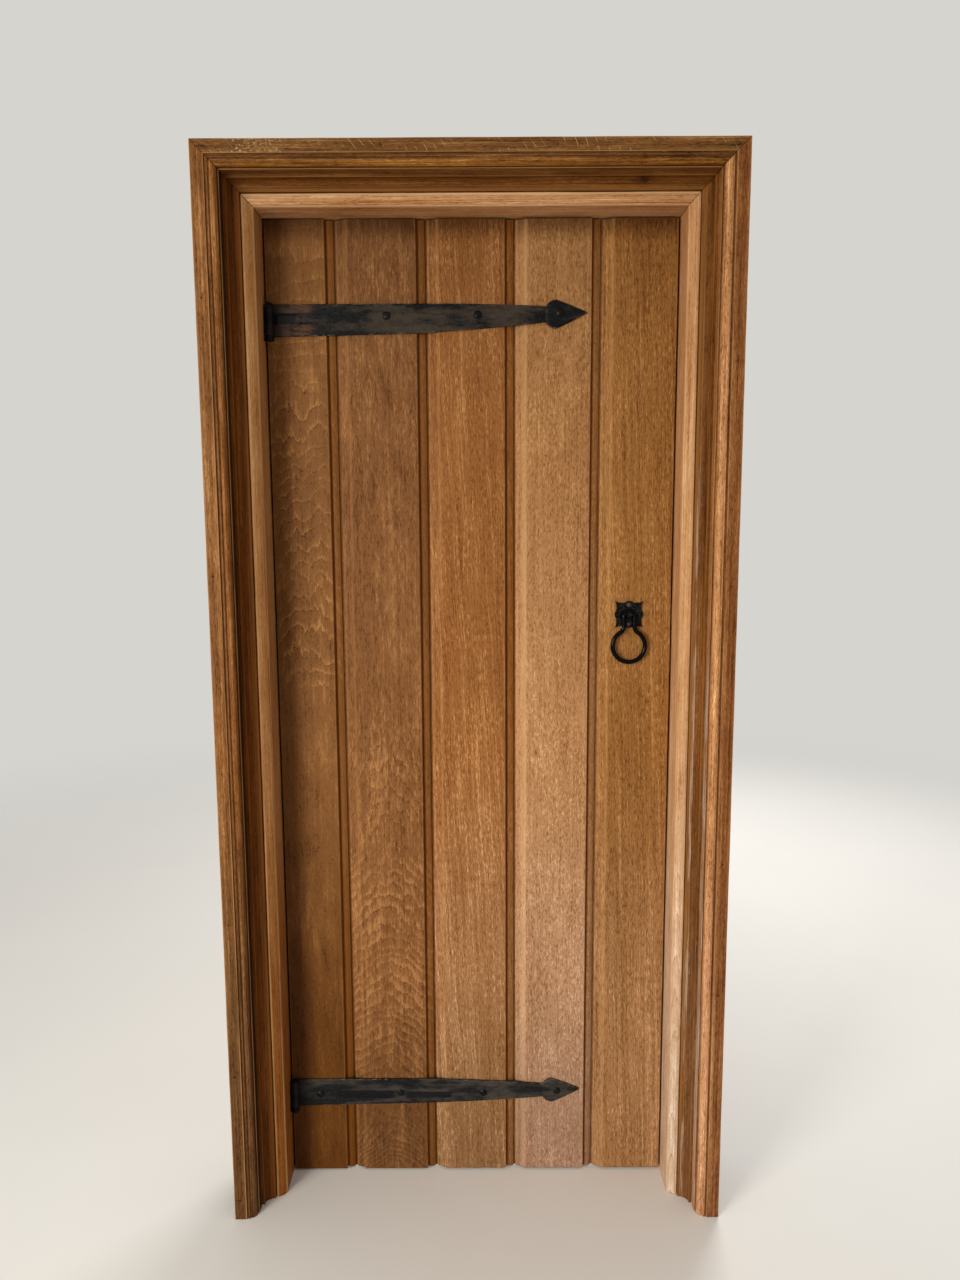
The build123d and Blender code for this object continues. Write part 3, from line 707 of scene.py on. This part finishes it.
def oak(name, dark, middle, pale, seed, **changes):
    """Oak: long streaks, short ray flecks and pores, drawn out along the grain, and figure."""
    look = {**oak_default, **changes}
    paint = Paint(name)
    times, plus, scaled, step = paint.times, paint.plus, paint.scaled, paint.step
    x, y, z = paint.split(paint.place)
    across, length = (x, z) if look["along"] == "Z" else (z, x)
    offset = [factor * seed for factor in seed_spread]
    still = paint.vector("ADD", paint.join(across, y, length), offset)

    def around(value, amount):
        """A noise value, 0 to 1, as a swing round zero."""
        return scaled(value, 2 * amount, -amount)

    def field(kind, place=still):
        return paint.field(kind, place)

    bend = around(field("bend"), look["slant"])
    wiggle = around(field("wiggle"), wiggle_depth)
    bent = scaled(length, look["lean"], plus(across, bend, wiggle))
    here = paint.vector("ADD", paint.join(bent, y, length), offset)

    # Streaks, growth lines, short strokes and pores
    cloud = field("cloud")
    mottle = field("mottle", here)
    streak = field("streak", here)
    fine_line = paint.noise(here, (look["line_scale"], look["line_scale"], line_grain), *line_noise)
    stroke = paint.noise(here, look["stroke_grain"], *stroke_noise)
    pore = field("pore", here)
    patch = step(field("patch"), "patch")
    patchy = scaled(patch, 0.5, 0.5)
    pale_stroke = times(step(stroke, "pale stroke"), patchy)
    level = 0.5
    for value, kind in ((cloud, "cloud"), (mottle, "mottle"), (streak, "streaks"), (fine_line, "lines")):
        level = plus(level, around(value, tone_weights[kind] * look[kind]))
    level = scaled(pale_stroke, fleck_tone * look["flecks"], level)
    level = scaled(step(stroke, "dark stroke"), -fleck_tone * look["flecks"], level)
    level = scaled(step(pore, "pore"), -pore_tone, level)
    height = scaled(fine_line, line_height * look["lines"], times(streak, streak_height))
    height = scaled(stroke, stroke_height * look["flecks"], height)
    height = scaled(step(pore, "pore dip"), -pore_tone, height)

    # Figure: the contours of rings that lie nearly flat in the face, jagged where rays cross them
    for figure in look["figures"]:
        jagged = around(paint.noise(still, figure["grain"], *figure_noise), figure["jag"])
        uneven = around(field("figure drift"), figure["drift"])
        side = paint.apart(paint.apart(across, figure["centre"]), figure["peaks"])
        arch = times(paint.math("POWER", side, arch_power), figure["bow"])
        run = plus(length, arch, jagged, uneven)
        phase = paint.math("FRACT", paint.math("DIVIDE", run, figure["spacing"]))
        zone = times(paint.zone(length, *figure["zone"], figure_ends), patchy)
        if "front" in figure:
            zone = times(zone, paint.band(y, figure["front"] + figure_fade, figure["front"]))
        line = times(paint.band(phase, figure["line"], line_end), zone)
        glow = times(paint.math("POWER", paint.math("SUBTRACT", 1.0, phase), figure["glow"]), zone)
        level = scaled(line, -figure["dark"], level)
        level = scaled(glow, figure["pale"], level)
        height = scaled(glow, figure_height, height)

    # Tones: of the grain, then along and across the member
    colour = paint.mix(step(level, "middle"), dark, middle)
    colour = paint.mix(step(level, "pale"), colour, pale)
    # The scooped edge of a board made paler: a painted highlight
    colour = paint.mix(times(paint.attribute("scoop"), look["scoop"]), colour, pale)
    if look["stain"]:
        low, high, tint = look["stain"]
        reach = plus(length, around(cloud, stain_sway))
        colour = paint.tinted(paint.band(reach, high, low), colour, tint)
    # The upper part darker: painted shade
    colour = paint.tinted(step(length, "top"), colour, (look["top"],) * 3)
    # A painted shadow along the top edge, under the head
    if look["eaves"]:
        reach = scaled(mottle, eaves_shadow_sway, length)
        colour = paint.tinted(step(reach, "eaves"), colour, look["eaves"])
    # The lower part tinted, partly as painted light bounced from the floor; the foot tinted
    for part in ("low", "foot"):
        colour = paint.tinted(step(length, part), colour, look[part])
    for low, high, tint in look["bands"]:
        colour = paint.tinted(paint.zone(across, low, high, (high - low) / 4), colour, tint)
    for knot_across, knot_along, size in look["knots"]:
        aside = paint.math("DIVIDE", paint.math("SUBTRACT", across, knot_across), size)
        above = paint.math("DIVIDE", paint.math("SUBTRACT", length, knot_along), knot_length * size)
        away = paint.math("SQRT", plus(times(aside, aside), times(above, above)))
        away = plus(away, around(field("knot"), knot_ragged))
        colour = paint.mix(times(step(away, "knot"), knot_share), colour, dark)
        colour = paint.mix(times(step(away, "knot heart"), heart_share), colour, look["deep_colour"])

    # Grime and painted shade in the grooves and joints, wear and painted highlights on the arrises,
    # scratches, and leftovers of plaster
    hollow = paint.attribute("hollow")
    grime = paint.math("MAXIMUM", step(hollow, "grime"), paint.attribute("end"))
    colour = paint.mix(times(grime, look["grime"]), colour, look["grime_colour"])
    colour = paint.mix(times(step(hollow, "deep"), look["grime"]), colour, look["deep_colour"])
    # Paler arrises: wear, and partly a painted highlight
    wear = times(step(paint.attribute("rim"), "wear"), step(streak, "worn streak"))
    colour = paint.mix(times(wear, look["arris"]), colour, look["arris_colour"] or pale)
    if look["scratches"]:
        low, high, scratch_colour = look["scratches"]
        slope = scaled(across, scratch_slope, length)
        drift = scaled(field("scratch drift"), scratch_drift, slope)
        mark = step(paint.math("FRACT", paint.math("DIVIDE", drift, scratch_spacing)), "scratch")
        gaps = step(field("scratch gaps"), "scratch gaps")
        mark = times(mark, gaps, paint.zone(across, low, high, scratch_ends), scratch_share)
        colour = paint.mix(mark, colour, scratch_colour)
    if look["plaster"]:
        amount, top, plaster_colour = look["plaster"]
        start = plaster_level - amount
        speck = paint.band(field("plaster"), start, start + plaster_soft)
        held = scaled(step(hollow, "plaster"), plaster_in_hollows, plaster_share)
        share = times(speck, held, paint.band(length, top, top - fade_below))
        colour = paint.mix(share, colour, plaster_colour)
    if look["smear"]:
        low, high, top, smear_colour = look["smear"]
        if look["smear_reach"]:
            drawn = step(field("spots"), "spots")
            reach = paint.zone(length, *look["smear_reach"], spot_rise, spot_fall)
        else:
            gaps = step(field("smear gaps"), "smear gaps")
            drawn = times(step(field("smear"), "smear"), gaps)
            reach = paint.band(length, top, top - fade_below)
        share = times(drawn, paint.zone(across, low, high, smear_ends), reach, smear_share)
        colour = paint.mix(share, colour, smear_colour)

    roughness = scaled(stroke, stroke_gloss, look["gloss"] - gloss_base)
    paint.shader.inputs["Specular IOR Level"].default_value = oak_specular
    return paint.finish(colour, roughness, paint.bump(height, look["relief"], grain_depth))


# Shares and colours of the marks on iron
paler_split = 0.75
grit_share = 0.2
dent_shade_share, dent_shade_black = 0.9, shade(10, 11, 15)
glint_grey = shade(112, 110, 98)
rust_ragged = 0.05
tongue_inset, tongue_soft = 0.001, 0.002
tongue_share, tongue_black = 0.8, shade(13, 14, 18)
scuff_and_highlight_share, scuff_and_highlight_tan = 0.8, shade(104, 92, 68)
# The strap's end beside the lining: painted shadow
strap_end_shadow_share, strap_end_shadow_black = 0.85, shade(5, 5, 6)
grit_gloss = 0.3
hammer_bump, hammer_size = 0.7, 0.002
grit_bump, grit_size = 0.3, 0.0003


def iron(name, base, wear, gloss, mottle=1.0, rust=None, grain=1.0, shine=0.12, specks=0.0, paler=None):
    """Blackened forged iron: clouds of brown grey drawn out along it, pale scuffs and painted highlights on
    its arrises.

    Rust beside a tongue is (middle, half the tongue's height, colour), and a stretch that is paler is
    (start, full, fall, end, gain)."""
    paint = Paint(name)
    times, band, step, scaled = paint.times, paint.band, paint.step, paint.scaled
    field, attribute = paint.field, paint.attribute
    x, _, z = paint.split(paint.place)
    cloud = field("iron cloud")
    if paler:
        start, full, fall, end, gain = paler
        pale_part = times(band(x, start, full), band(x, end, fall))
        cloud = paint.plus(cloud, scaled(pale_part, gain, -paler_split * gain))
    grit = field("grit")
    worn = times(step(scaled(grit, grit_share, cloud), "iron wear"), mottle)
    colour = paint.mix(worn, base, wear)
    # The dents darker: painted shade
    colour = paint.mix(times(attribute("dent"), dent_shade_share), colour, dent_shade_black)
    # Pale specks: painted glints
    colour = paint.mix(times(step(field("glint"), "glint"), specks), colour, glint_grey)
    if rust:
        middle, tongue, rust_colour = rust
        aside = paint.apart(z, middle)
        beside = band(aside, tongue - tongue_inset, tongue + tongue_soft)
        flaky = step(field("rust"), "rust flakes")
        rusty = times(step(scaled(cloud, rust_ragged, x), "rust"), beside, flaky)
        colour = paint.mix(rusty, colour, rust_colour)
        inside = times(band(aside, tongue, tongue - tongue_soft), step(x, "tongue"))
        colour = paint.mix(times(inside, tongue_share), colour, tongue_black)
    # Pale edges: scuffs and painted highlights
    scuff = times(attribute("edge"), step(field("scuff"), "scuff"))
    colour = paint.mix(times(scuff, scuff_and_highlight_share), colour, scuff_and_highlight_tan)
    # The strap's end beside the lining made near black: painted shadow
    colour = paint.mix(times(step(x, "soot"), strap_end_shadow_share), colour, strap_end_shadow_black)
    roughness = scaled(grit, grit_gloss, gloss - grit_gloss / 2)
    normal = paint.bump(field("hammer"), hammer_bump * grain, hammer_size)
    normal = paint.bump(grit, grit_bump * grain, grit_size, normal)
    paint.shader.inputs["Specular IOR Level"].default_value = shine
    return paint.finish(colour, roughness, normal)


dull_share = 0.6
tarnish_gloss = 0.25
brush_bump, brush_size = 0.1, 0.0002
bare_metal = 0.9


def plain_metal(name, base, gloss):
    """Small bright fittings: brushed, with a little dulling."""
    paint = Paint(name)
    tarnish = paint.field("tarnish")
    dull = (*(dull_share * c for c in base[:3]), 1.0)
    colour = paint.mix(paint.step(tarnish, "tarnish"), base, dull)
    roughness = paint.scaled(tarnish, tarnish_gloss, gloss - gloss_base)
    normal = paint.bump(paint.field("brushed"), brush_bump, brush_size)
    return paint.finish(colour, roughness, normal, bare_metal)


# Timber: the dark, middle and pale colour of each member. The _lit and _shaded sets are copies of one wood
# with painted light and painted shade

architrave = shade(68, 35, 9), shade(122, 77, 36), shade(172, 124, 74)
architrave_lit = shade(104, 58, 22), shade(154, 103, 57), shade(192, 142, 90)
architrave_shaded = shade(56, 31, 7), shade(111, 71, 33), shade(160, 116, 69)
inner_frame = shade(60, 25, 1), shade(98, 50, 7), shade(132, 78, 26)
inner_shaded = shade(54, 25, 3), shade(94, 53, 14), shade(130, 84, 38)
inner_lit = shade(70, 36, 6), shade(109, 65, 23), shade(146, 97, 46)
lining = shade(142, 88, 40), shade(188, 139, 93), shade(221, 181, 138)
lining_shaded = shade(128, 76, 32), shade(169, 118, 69), shade(203, 157, 106)
stop = shade(130, 82, 38), shade(178, 124, 70), shade(208, 160, 106)
back_oak = shade(116, 72, 32), shade(164, 112, 60), shade(200, 150, 92)
board_1 = shade(78, 42, 11), shade(124, 82, 43), shade(165, 117, 67)
board_2 = shade(86, 49, 15), shade(124, 81, 44), shade(165, 116, 71)
board_3 = shade(107, 59, 19), shade(141, 90, 45), shade(187, 134, 82)
board_4 = shade(123, 79, 38), shade(162, 115, 70), shade(196, 151, 100)
board_5 = shade(101, 60, 22), shade(143, 96, 47), shade(183, 133, 79)
plaster = shade(206, 196, 182)
post_plaster = shade(190, 176, 168)
everywhere = 3.0

# Strips that differ in tone, each (from, to, tint) across its member
# The left architrave's inner side made near black: painted shade
left_inner_side_shade = -0.4295, -0.4265, (0.16, 0.12, 0.12)
left_mould = -0.446, -0.4305, (1.28, 1.24, 1.24)
right_band = 0.4475, 0.49, (0.63, 0.51, 0.41)
right_quirk = 0.4448, 0.4492, (0.6, 0.53, 0.48)
# The right architrave's mould made lighter: painted light
right_mould_lit = 0.43, 0.4448, (1.6, 1.82, 2.35)
head_mould = opening_height + 0.044, opening_height + 0.0565, (1.5, 1.45, 0.95)
# Board 1 darker on its hinge side: painted shade of the reveal
hinge_side_shade = -0.44, -0.325, (0.74, 0.67, 0.55)
head_band = opening_height + 0.0645, opening_height + 0.0885

# Figure: where it lies, its middle and peaks, how it bows and wanders, its lines and their strength
contours = {
    "zone": (1.2, 1.66), "centre": -0.318, "peaks": 0.02, "bow": 4.0, "grain": (48, 48, 9), "jag": 0.03,
    "drift": 0.07, "spacing": 0.029, "line": 0.12, "dark": 1.0, "pale": 0.65, "glow": 4.0,
}
flames = {**contours, "zone": (0.98, 1.3), "grain": (42, 42, 8), "jag": 0.05, "spacing": 0.038, "line": 0.1}
top_waves = {
    **contours, "zone": (1.58, 1.94), "peaks": 0.0, "bow": 0.3, "jag": 0.014, "drift": 0.05,
    "spacing": 0.036, "dark": 0.4, "pale": 0.35,
}
ripples = {
    "zone": (0.12, 0.74), "centre": -0.175, "peaks": 0.0, "bow": 2.6, "grain": (46, 46, 9), "jag": 0.026,
    "drift": 0.05, "spacing": 0.023, "line": 0.13, "dark": 0.7, "pale": 0.5, "glow": 2.0,
}
foot_ripples = {**ripples, "zone": (-0.1, 0.16), "jag": 0.008, "spacing": 0.012}
peaks = {
    **ripples, "zone": (0.68, 0.98), "bow": 6.0, "grain": (46, 46, 8), "jag": 0.05, "spacing": 0.042,
    "line": 0.1, "dark": 0.8, "pale": 0.25,
}
cathedral = {
    "zone": (-0.1, 0.75), "centre": 0.392, "peaks": 0.0, "bow": 70.0, "grain": (30, 30, 5), "jag": 0.02,
    "drift": 0.05, "spacing": 0.085, "line": 0.12, "dark": 0.5, "pale": 0.25, "glow": 2.0, "front": -0.024,
}

# What several members share
dark_grooves = {"lines": 0.6, "flecks": 0.3, "grime": 0.95, "plaster": (0.04, everywhere, plaster)}
# On the leaf the grooves darken to warm browns: grime and painted shade, with warmth that paints light
# bounced into them
leaf = {
    "eaves": (0.42, 0.38, 0.32), "grime": 0.7, "grime_colour": shade(112, 64, 14),
    "deep_colour": shade(124, 60, 8), "arris": 0.2,
}
close_grain = {"lines": 0.4, "line_scale": 540, "stroke_grain": (380, 380, 76), "mottle": 0.2}

woods = {
    "architrave_left": oak(
        "architrave_left_oak", *architrave, 3.1, low=(0.6, 0.68, 0.84), bands=(left_inner_side_shade, left_mould),
        **dark_grooves,
    ),
    "architrave_right": oak(
        "architrave_right_oak", *architrave_lit, 5.7, lines=0.65, line_scale=300, flecks=0.5, relief=0.9,
        low=(1.04, 1.1, 1.35), grime=0.4, plaster=(0.03, everywhere, plaster), arris=0.35,
        smear=(architrave_inner - 0.002, architrave_inner + 0.003, 1.2, shade(190, 176, 164)),
        knots=((0.4535, 1.9396, 0.0013), (0.4553, 1.9157, 0.0008)),
        bands=(right_band, right_quirk, right_mould_lit),
    ),
    "architrave_head": oak(
        "architrave_head_oak", *architrave_shaded, 8.3, along="X", bands=(head_mould,),
        scratches=(*head_band, shade(190, 160, 112)),
        smear=(*head_band, everywhere, shade(182, 162, 118)), smear_reach=(-0.42, -0.3), **dark_grooves,
    ),
    "frame_post_left": oak("frame_left_oak", *inner_frame, 11.9, lines=0.6, flecks=0.3, grime=0.9),
    "frame_post_right": oak(
        "frame_right_oak", *inner_lit, 13.3, lines=0.6, flecks=0.4, low=(0.92, 1.06, 2.0),
        plaster=(0.1, 1.45, post_plaster), smear=(0.4075, 0.4135, 1.5, shade(176, 148, 126)),
    ),
    "frame_head": oak(
        "frame_head_oak", *inner_shaded, 17.1, along="X", lines=0.5, flecks=0.3, grime=0.95,
        knots=((1.9388, 0.3009, 0.006),),
    ),
    # Its pale arris line is partly wear and partly a painted highlight
    "lining_left": oak(
        "lining_left_oak", *lining_shaded, 19.7, lines=0.5, flecks=0.15,
        stain=(0.0, 1.3, (0.66, 0.47, 0.22)), arris=0.5, arris_colour=shade(232, 186, 128),
    ),
    "lining_right": oak(
        "lining_right_oak", *lining, 23.9, lines=0.5, flecks=0.15, stain=(0.1, 1.2, (1.13, 1.52, 2.4)),
        arris=0.25, figures=(cathedral,),
    ),
    "lining_head": oak("lining_head_oak", *lining, 27.7, along="X", lines=0.8, flecks=0.15, arris=0.6),
    "stop_left": oak("stop_left_oak", *stop, 31.3, flecks=0.3),
    "stop_right": oak("stop_right_oak", *stop, 33.1, flecks=0.3),
    "stop_head": oak("stop_head_oak", *stop, 35.9, along="X", flecks=0.3),
    "board_1": oak(
        "board_1_oak", *board_1, 41.3, flecks=0.3, lines=0.1, streaks=0.3, mottle=0.35, bands=(hinge_side_shade,),
        figures=(contours, flames, top_waves), stain=(0.2, 0.95, (0.56, 0.46, 0.24)), top=0.92, **leaf,
    ),
    "board_2": oak(
        "board_2_oak", *board_2, 43.7, flecks=0.55, lines=0.2, stroke_grain=(400, 400, 80), streaks=0.35,
        mottle=0.36, scoop=0.1, figures=(ripples, foot_ripples, peaks), top=0.8, foot=(0.66, 0.66, 0.66),
        **leaf,
    ),
    "board_3": oak(
        "board_3_oak", *board_3, 47.9, flecks=0.66, slant=0.008, lean=0.05, top=0.8, scoop=0.05,
        low=(1.18, 1.44, 2.2), foot=(0.8, 0.86, 0.9), **close_grain, **leaf,
    ),
    "board_4": oak(
        "board_4_oak", *board_4, 53.3, flecks=0.68, lines=0.3, line_scale=540, stroke_grain=(420, 420, 130),
        streaks=0.35, mottle=0.2, stain=(1.05, 1.5, (1.14, 1.2, 1.4)), top=0.87, scoop=0.3,
        low=(1.02, 1.12, 1.45), foot=(0.78, 0.79, 0.88),
        knots=((0.1223, 1.66, 0.004), (0.1208, 0.897, 0.003)), **leaf,
    ),
    "board_5": oak(
        "board_5_oak", *board_5, 59.9, flecks=0.7, slant=0.006, lean=0.03, scoop=0.12, low=(1.18, 1.36, 2.1),
        foot=(1.04, 1.04, 1.1), knots=((0.3292, 0.982, 0.0018),), **close_grain, **leaf,
    ),
    "ledge": oak("ledge_oak", *back_oak, 61.3, along="X"),
    "brace": oak("brace_oak", *back_oak, 67.1),
}

# The timber members, with the holes for the brads and the catch
members = {f"{kind}_{side}": upright for kind in ("architrave", "frame_post", "lining", "stop")
           for side in ("left", "right")}
members |= {f"{kind}_head": crosspiece for kind in ("architrave", "frame", "lining", "stop")}
members |= {f"board_{number}": board for number in range(1, 6)}
member_seed = 12.0
catch_mouth = 0.75

bores = {node: [] for node in members}
for low, high in solid_boxes("architrave_brads"):
    middle = (low + high) / 2
    side = "left" if middle.x < 0 else "right"
    node = f"architrave_{side}" if middle.z < opening_height else "architrave_head"
    mouth = Vector((middle.x, front, middle.z))
    bores[node].append((mouth, Vector((0, 1, 0)), (high.x - low.x) / 2, low.y - front))
low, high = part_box("catch_case")
mouth = Vector((high.x, (low.y + high.y) / 2, (low.z + high.z) / 2))
bores["board_5"].append((mouth, Vector((-1, 0, 0)), catch_mouth * (high.z - low.z) / 2, high.x - low.x))

for number, (node, make) in enumerate(members.items()):
    piece = make(node, member_seed * number)
    holes = [(mouth, way, radius + bore_fit, depth + bore_fit) for mouth, way, radius, depth in bores[node]]
    bore(piece, holes)
    stand_in(piece, node, "door" if make is board else "frame")
    piece.data.materials.append(woods[node])


def paint_node(node, material):
    for material_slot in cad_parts[node].material_slots:
        material_slot.material = material


for node in ("ledge_top", "ledge_middle", "ledge_bottom"):
    paint_node(node, woods["ledge"])
for node in ("brace_lower", "brace_upper"):
    paint_node(node, woods["brace"])

# Iron and small fittings

strap_middle = (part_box("strap_top")[0].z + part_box("strap_top")[1].z) / 2
tongue_half = 0.010
rust = strap_middle, tongue_half, shade(76, 51, 38)
paler = strap_left + 0.12, strap_left + 0.3, strap_left + 0.42, strap_left + 0.52, 0.14
bottom_dents = [(0.147, -0.005, 0.111, 0.017, 0.0009), (0.277, -0.006, 0.088, 0.013, 0.0007)]
forged = iron("forged_iron", shade(19, 19, 21), shade(62, 57, 52), 0.5, specks=0.15)
forged_top = iron(
    "forged_iron_top", shade(5, 7, 11), shade(58, 49, 40), 0.5, rust=rust, specks=0.15, paler=paler,
)
nail_black = iron("nail_black", shade(6, 6, 7), shade(28, 25, 22), 0.34, mottle=0.6, grain=1.5)
# The pintles darker than the straps' iron: painted shade of the lining
pin_black = iron("pin_black", shade(7, 7, 8), shade(16, 15, 14), 0.6, mottle=0.6)
ring_black = iron("ring_black", shade(2, 1, 3), shade(4, 3, 6), 0.12, mottle=0.5, grain=0.05, shine=0.1)
plate_black = iron(
    "plate_black", shade(3, 3, 3), shade(12, 11, 9), 0.34, mottle=0.8, grain=5.0, shine=0.1, specks=0.5,
)
screw_brown = iron("screw_brown", shade(13, 10, 9), shade(72, 55, 56), 0.26, grain=0.5, shine=0.2)
zinc = plain_metal("zinc", shade(176, 176, 180), 0.4)
dull_brass = plain_metal("dull_brass", shade(186, 160, 104), 0.4)
dark_steel = plain_metal("dark_steel", shade(52, 44, 38), 0.6)

top_strap = strap("strap_top", 3.3, [])
top_strap.data.materials.append(forged_top)
bottom_strap = strap("strap_bottom", 8.8, bottom_dents)
bottom_strap.data.materials.append(forged)

for material, nodes in (
    (nail_black, ("strap_nails_top", "strap_nails_bottom")),
    (pin_black, ("pintle_top", "pintle_bottom")),
    (plate_black, ("ring_plate",)),
    (screw_brown, ("ring_plate_screws",)),
    (ring_black, ("ring_handle",)),
    (zinc, ("ledge_screws", "catch_ball", "catch_spring")),
    (dull_brass, ("catch_case", "strike_plate", "strike_screws")),
    (dark_steel, ("architrave_brads",)),
):
    for node in nodes:
        paint_node(node, material)

# Floor, light and camera

floor_half = 14.0
floor_gloss = 0.75
floor_bump, floor_size = 0.02, 0.001
fade_start, fade_end = 1.3, 4.5
floor_mesh = bmesh.new()
corners = [(-1, -1), (1, -1), (1, 1), (-1, 1)]
floor_mesh.faces.new([floor_mesh.verts.new((floor_half * x, floor_half * y, 0.0)) for x, y in corners])
floor = new_piece("floor", floor_mesh)
floor_paint = Paint("pale_floor")
speckle = floor_paint.field("floor")
floor_colour = floor_paint.mix(speckle, shade(228, 226, 221), shade(233, 231, 226))
floor_normal = floor_paint.bump(speckle, floor_bump, floor_size)
floor.data.materials.append(floor_paint.finish(floor_colour, floor_gloss, floor_normal))

# Far out the floor fades into the backdrop
distance = floor_paint.node("ShaderNodeVectorMath", operation="LENGTH")
floor_paint.put(distance.inputs[0], floor_paint.place)
faded = floor_paint.band(distance.outputs["Value"], fade_start, fade_end)
clear = floor_paint.node("ShaderNodeBsdfTransparent")
blend = floor_paint.node("ShaderNodeMixShader")
floor_paint.fill(blend, faded, floor_paint.shader.outputs[0], clear.outputs[0])
floor_paint.put(floor_paint.tree.nodes["Material Output"].inputs["Surface"], blend.outputs[0])

# The camera and reflections see the pale backdrop, and all else is lit by the fill
backdrop_colour = shade(214, 212, 207)
fill_colour = (1.0, 0.98, 0.95, 1.0)
fill_strength = 0.54
world = bpy.data.worlds.new("studio")
bpy.context.scene.world = world
sky = Nodes(world)
backdrop = sky.tree.nodes["Background"]
sky.give(backdrop, {"Color": backdrop_colour})
fill = sky.node("ShaderNodeBackground")
sky.give(fill, {"Color": fill_colour, "Strength": fill_strength})
rays = sky.node("ShaderNodeLightPath").outputs
seen = rays["Is Camera Ray"]
for kind in ("Is Glossy Ray", "Is Transmission Ray"):
    seen = sky.math("MAXIMUM", seen, rays[kind])
either = sky.fill(sky.node("ShaderNodeMixShader"), seen, fill.outputs[0], backdrop.outputs[0])
sky.put(sky.tree.nodes["World Output"].inputs["Surface"], either.outputs[0])


def lamp(name, location, target, size, power, colour, spread):
    light = bpy.data.lights.new(name, "AREA")
    light.spread = math.radians(spread)
    light.shape = "SQUARE"
    light.size = size
    light.energy = power
    light.color = colour
    holder = bpy.data.objects.new(name, light)
    bpy.context.scene.collection.objects.link(holder)
    holder.location = location
    direction = Vector(target) - Vector(location)
    holder.rotation_euler = direction.to_track_quat("-Z", "Y").to_euler()


lamp(
    "window", location=(-2.3, -2.9, 1.4), target=(0.1, 0.0, 0.55), size=1.3, power=27.0,
    colour=(1.0, 0.94, 0.84), spread=84.0,
)
lamp(
    "back_fill", location=(1.6, 3.4, 2.4), target=(0.0, 0.0, 1.0), size=2.0, power=75.0,
    colour=(1.0, 0.98, 0.96), spread=150.0,
)

picture_height = 1280
focal_pixels = 962
sensor = 36.0
camera_place = (0.0121, -1.804, 1.377)
camera_pitch = 0.137
camera_roll = -0.005
camera_data = bpy.data.cameras.new("camera")
camera_data.lens = focal_pixels / picture_height * sensor
camera_data.sensor_width = sensor
camera = bpy.data.objects.new("camera", camera_data)
bpy.context.scene.collection.objects.link(camera)
bpy.context.scene.camera = camera
camera.location = camera_place
looking = Euler((math.pi / 2 - camera_pitch, 0, 0)).to_matrix() @ Euler((0, 0, camera_roll)).to_matrix()
camera.rotation_euler = looking.to_euler()

bpy.context.scene.view_settings.view_transform = "Standard"
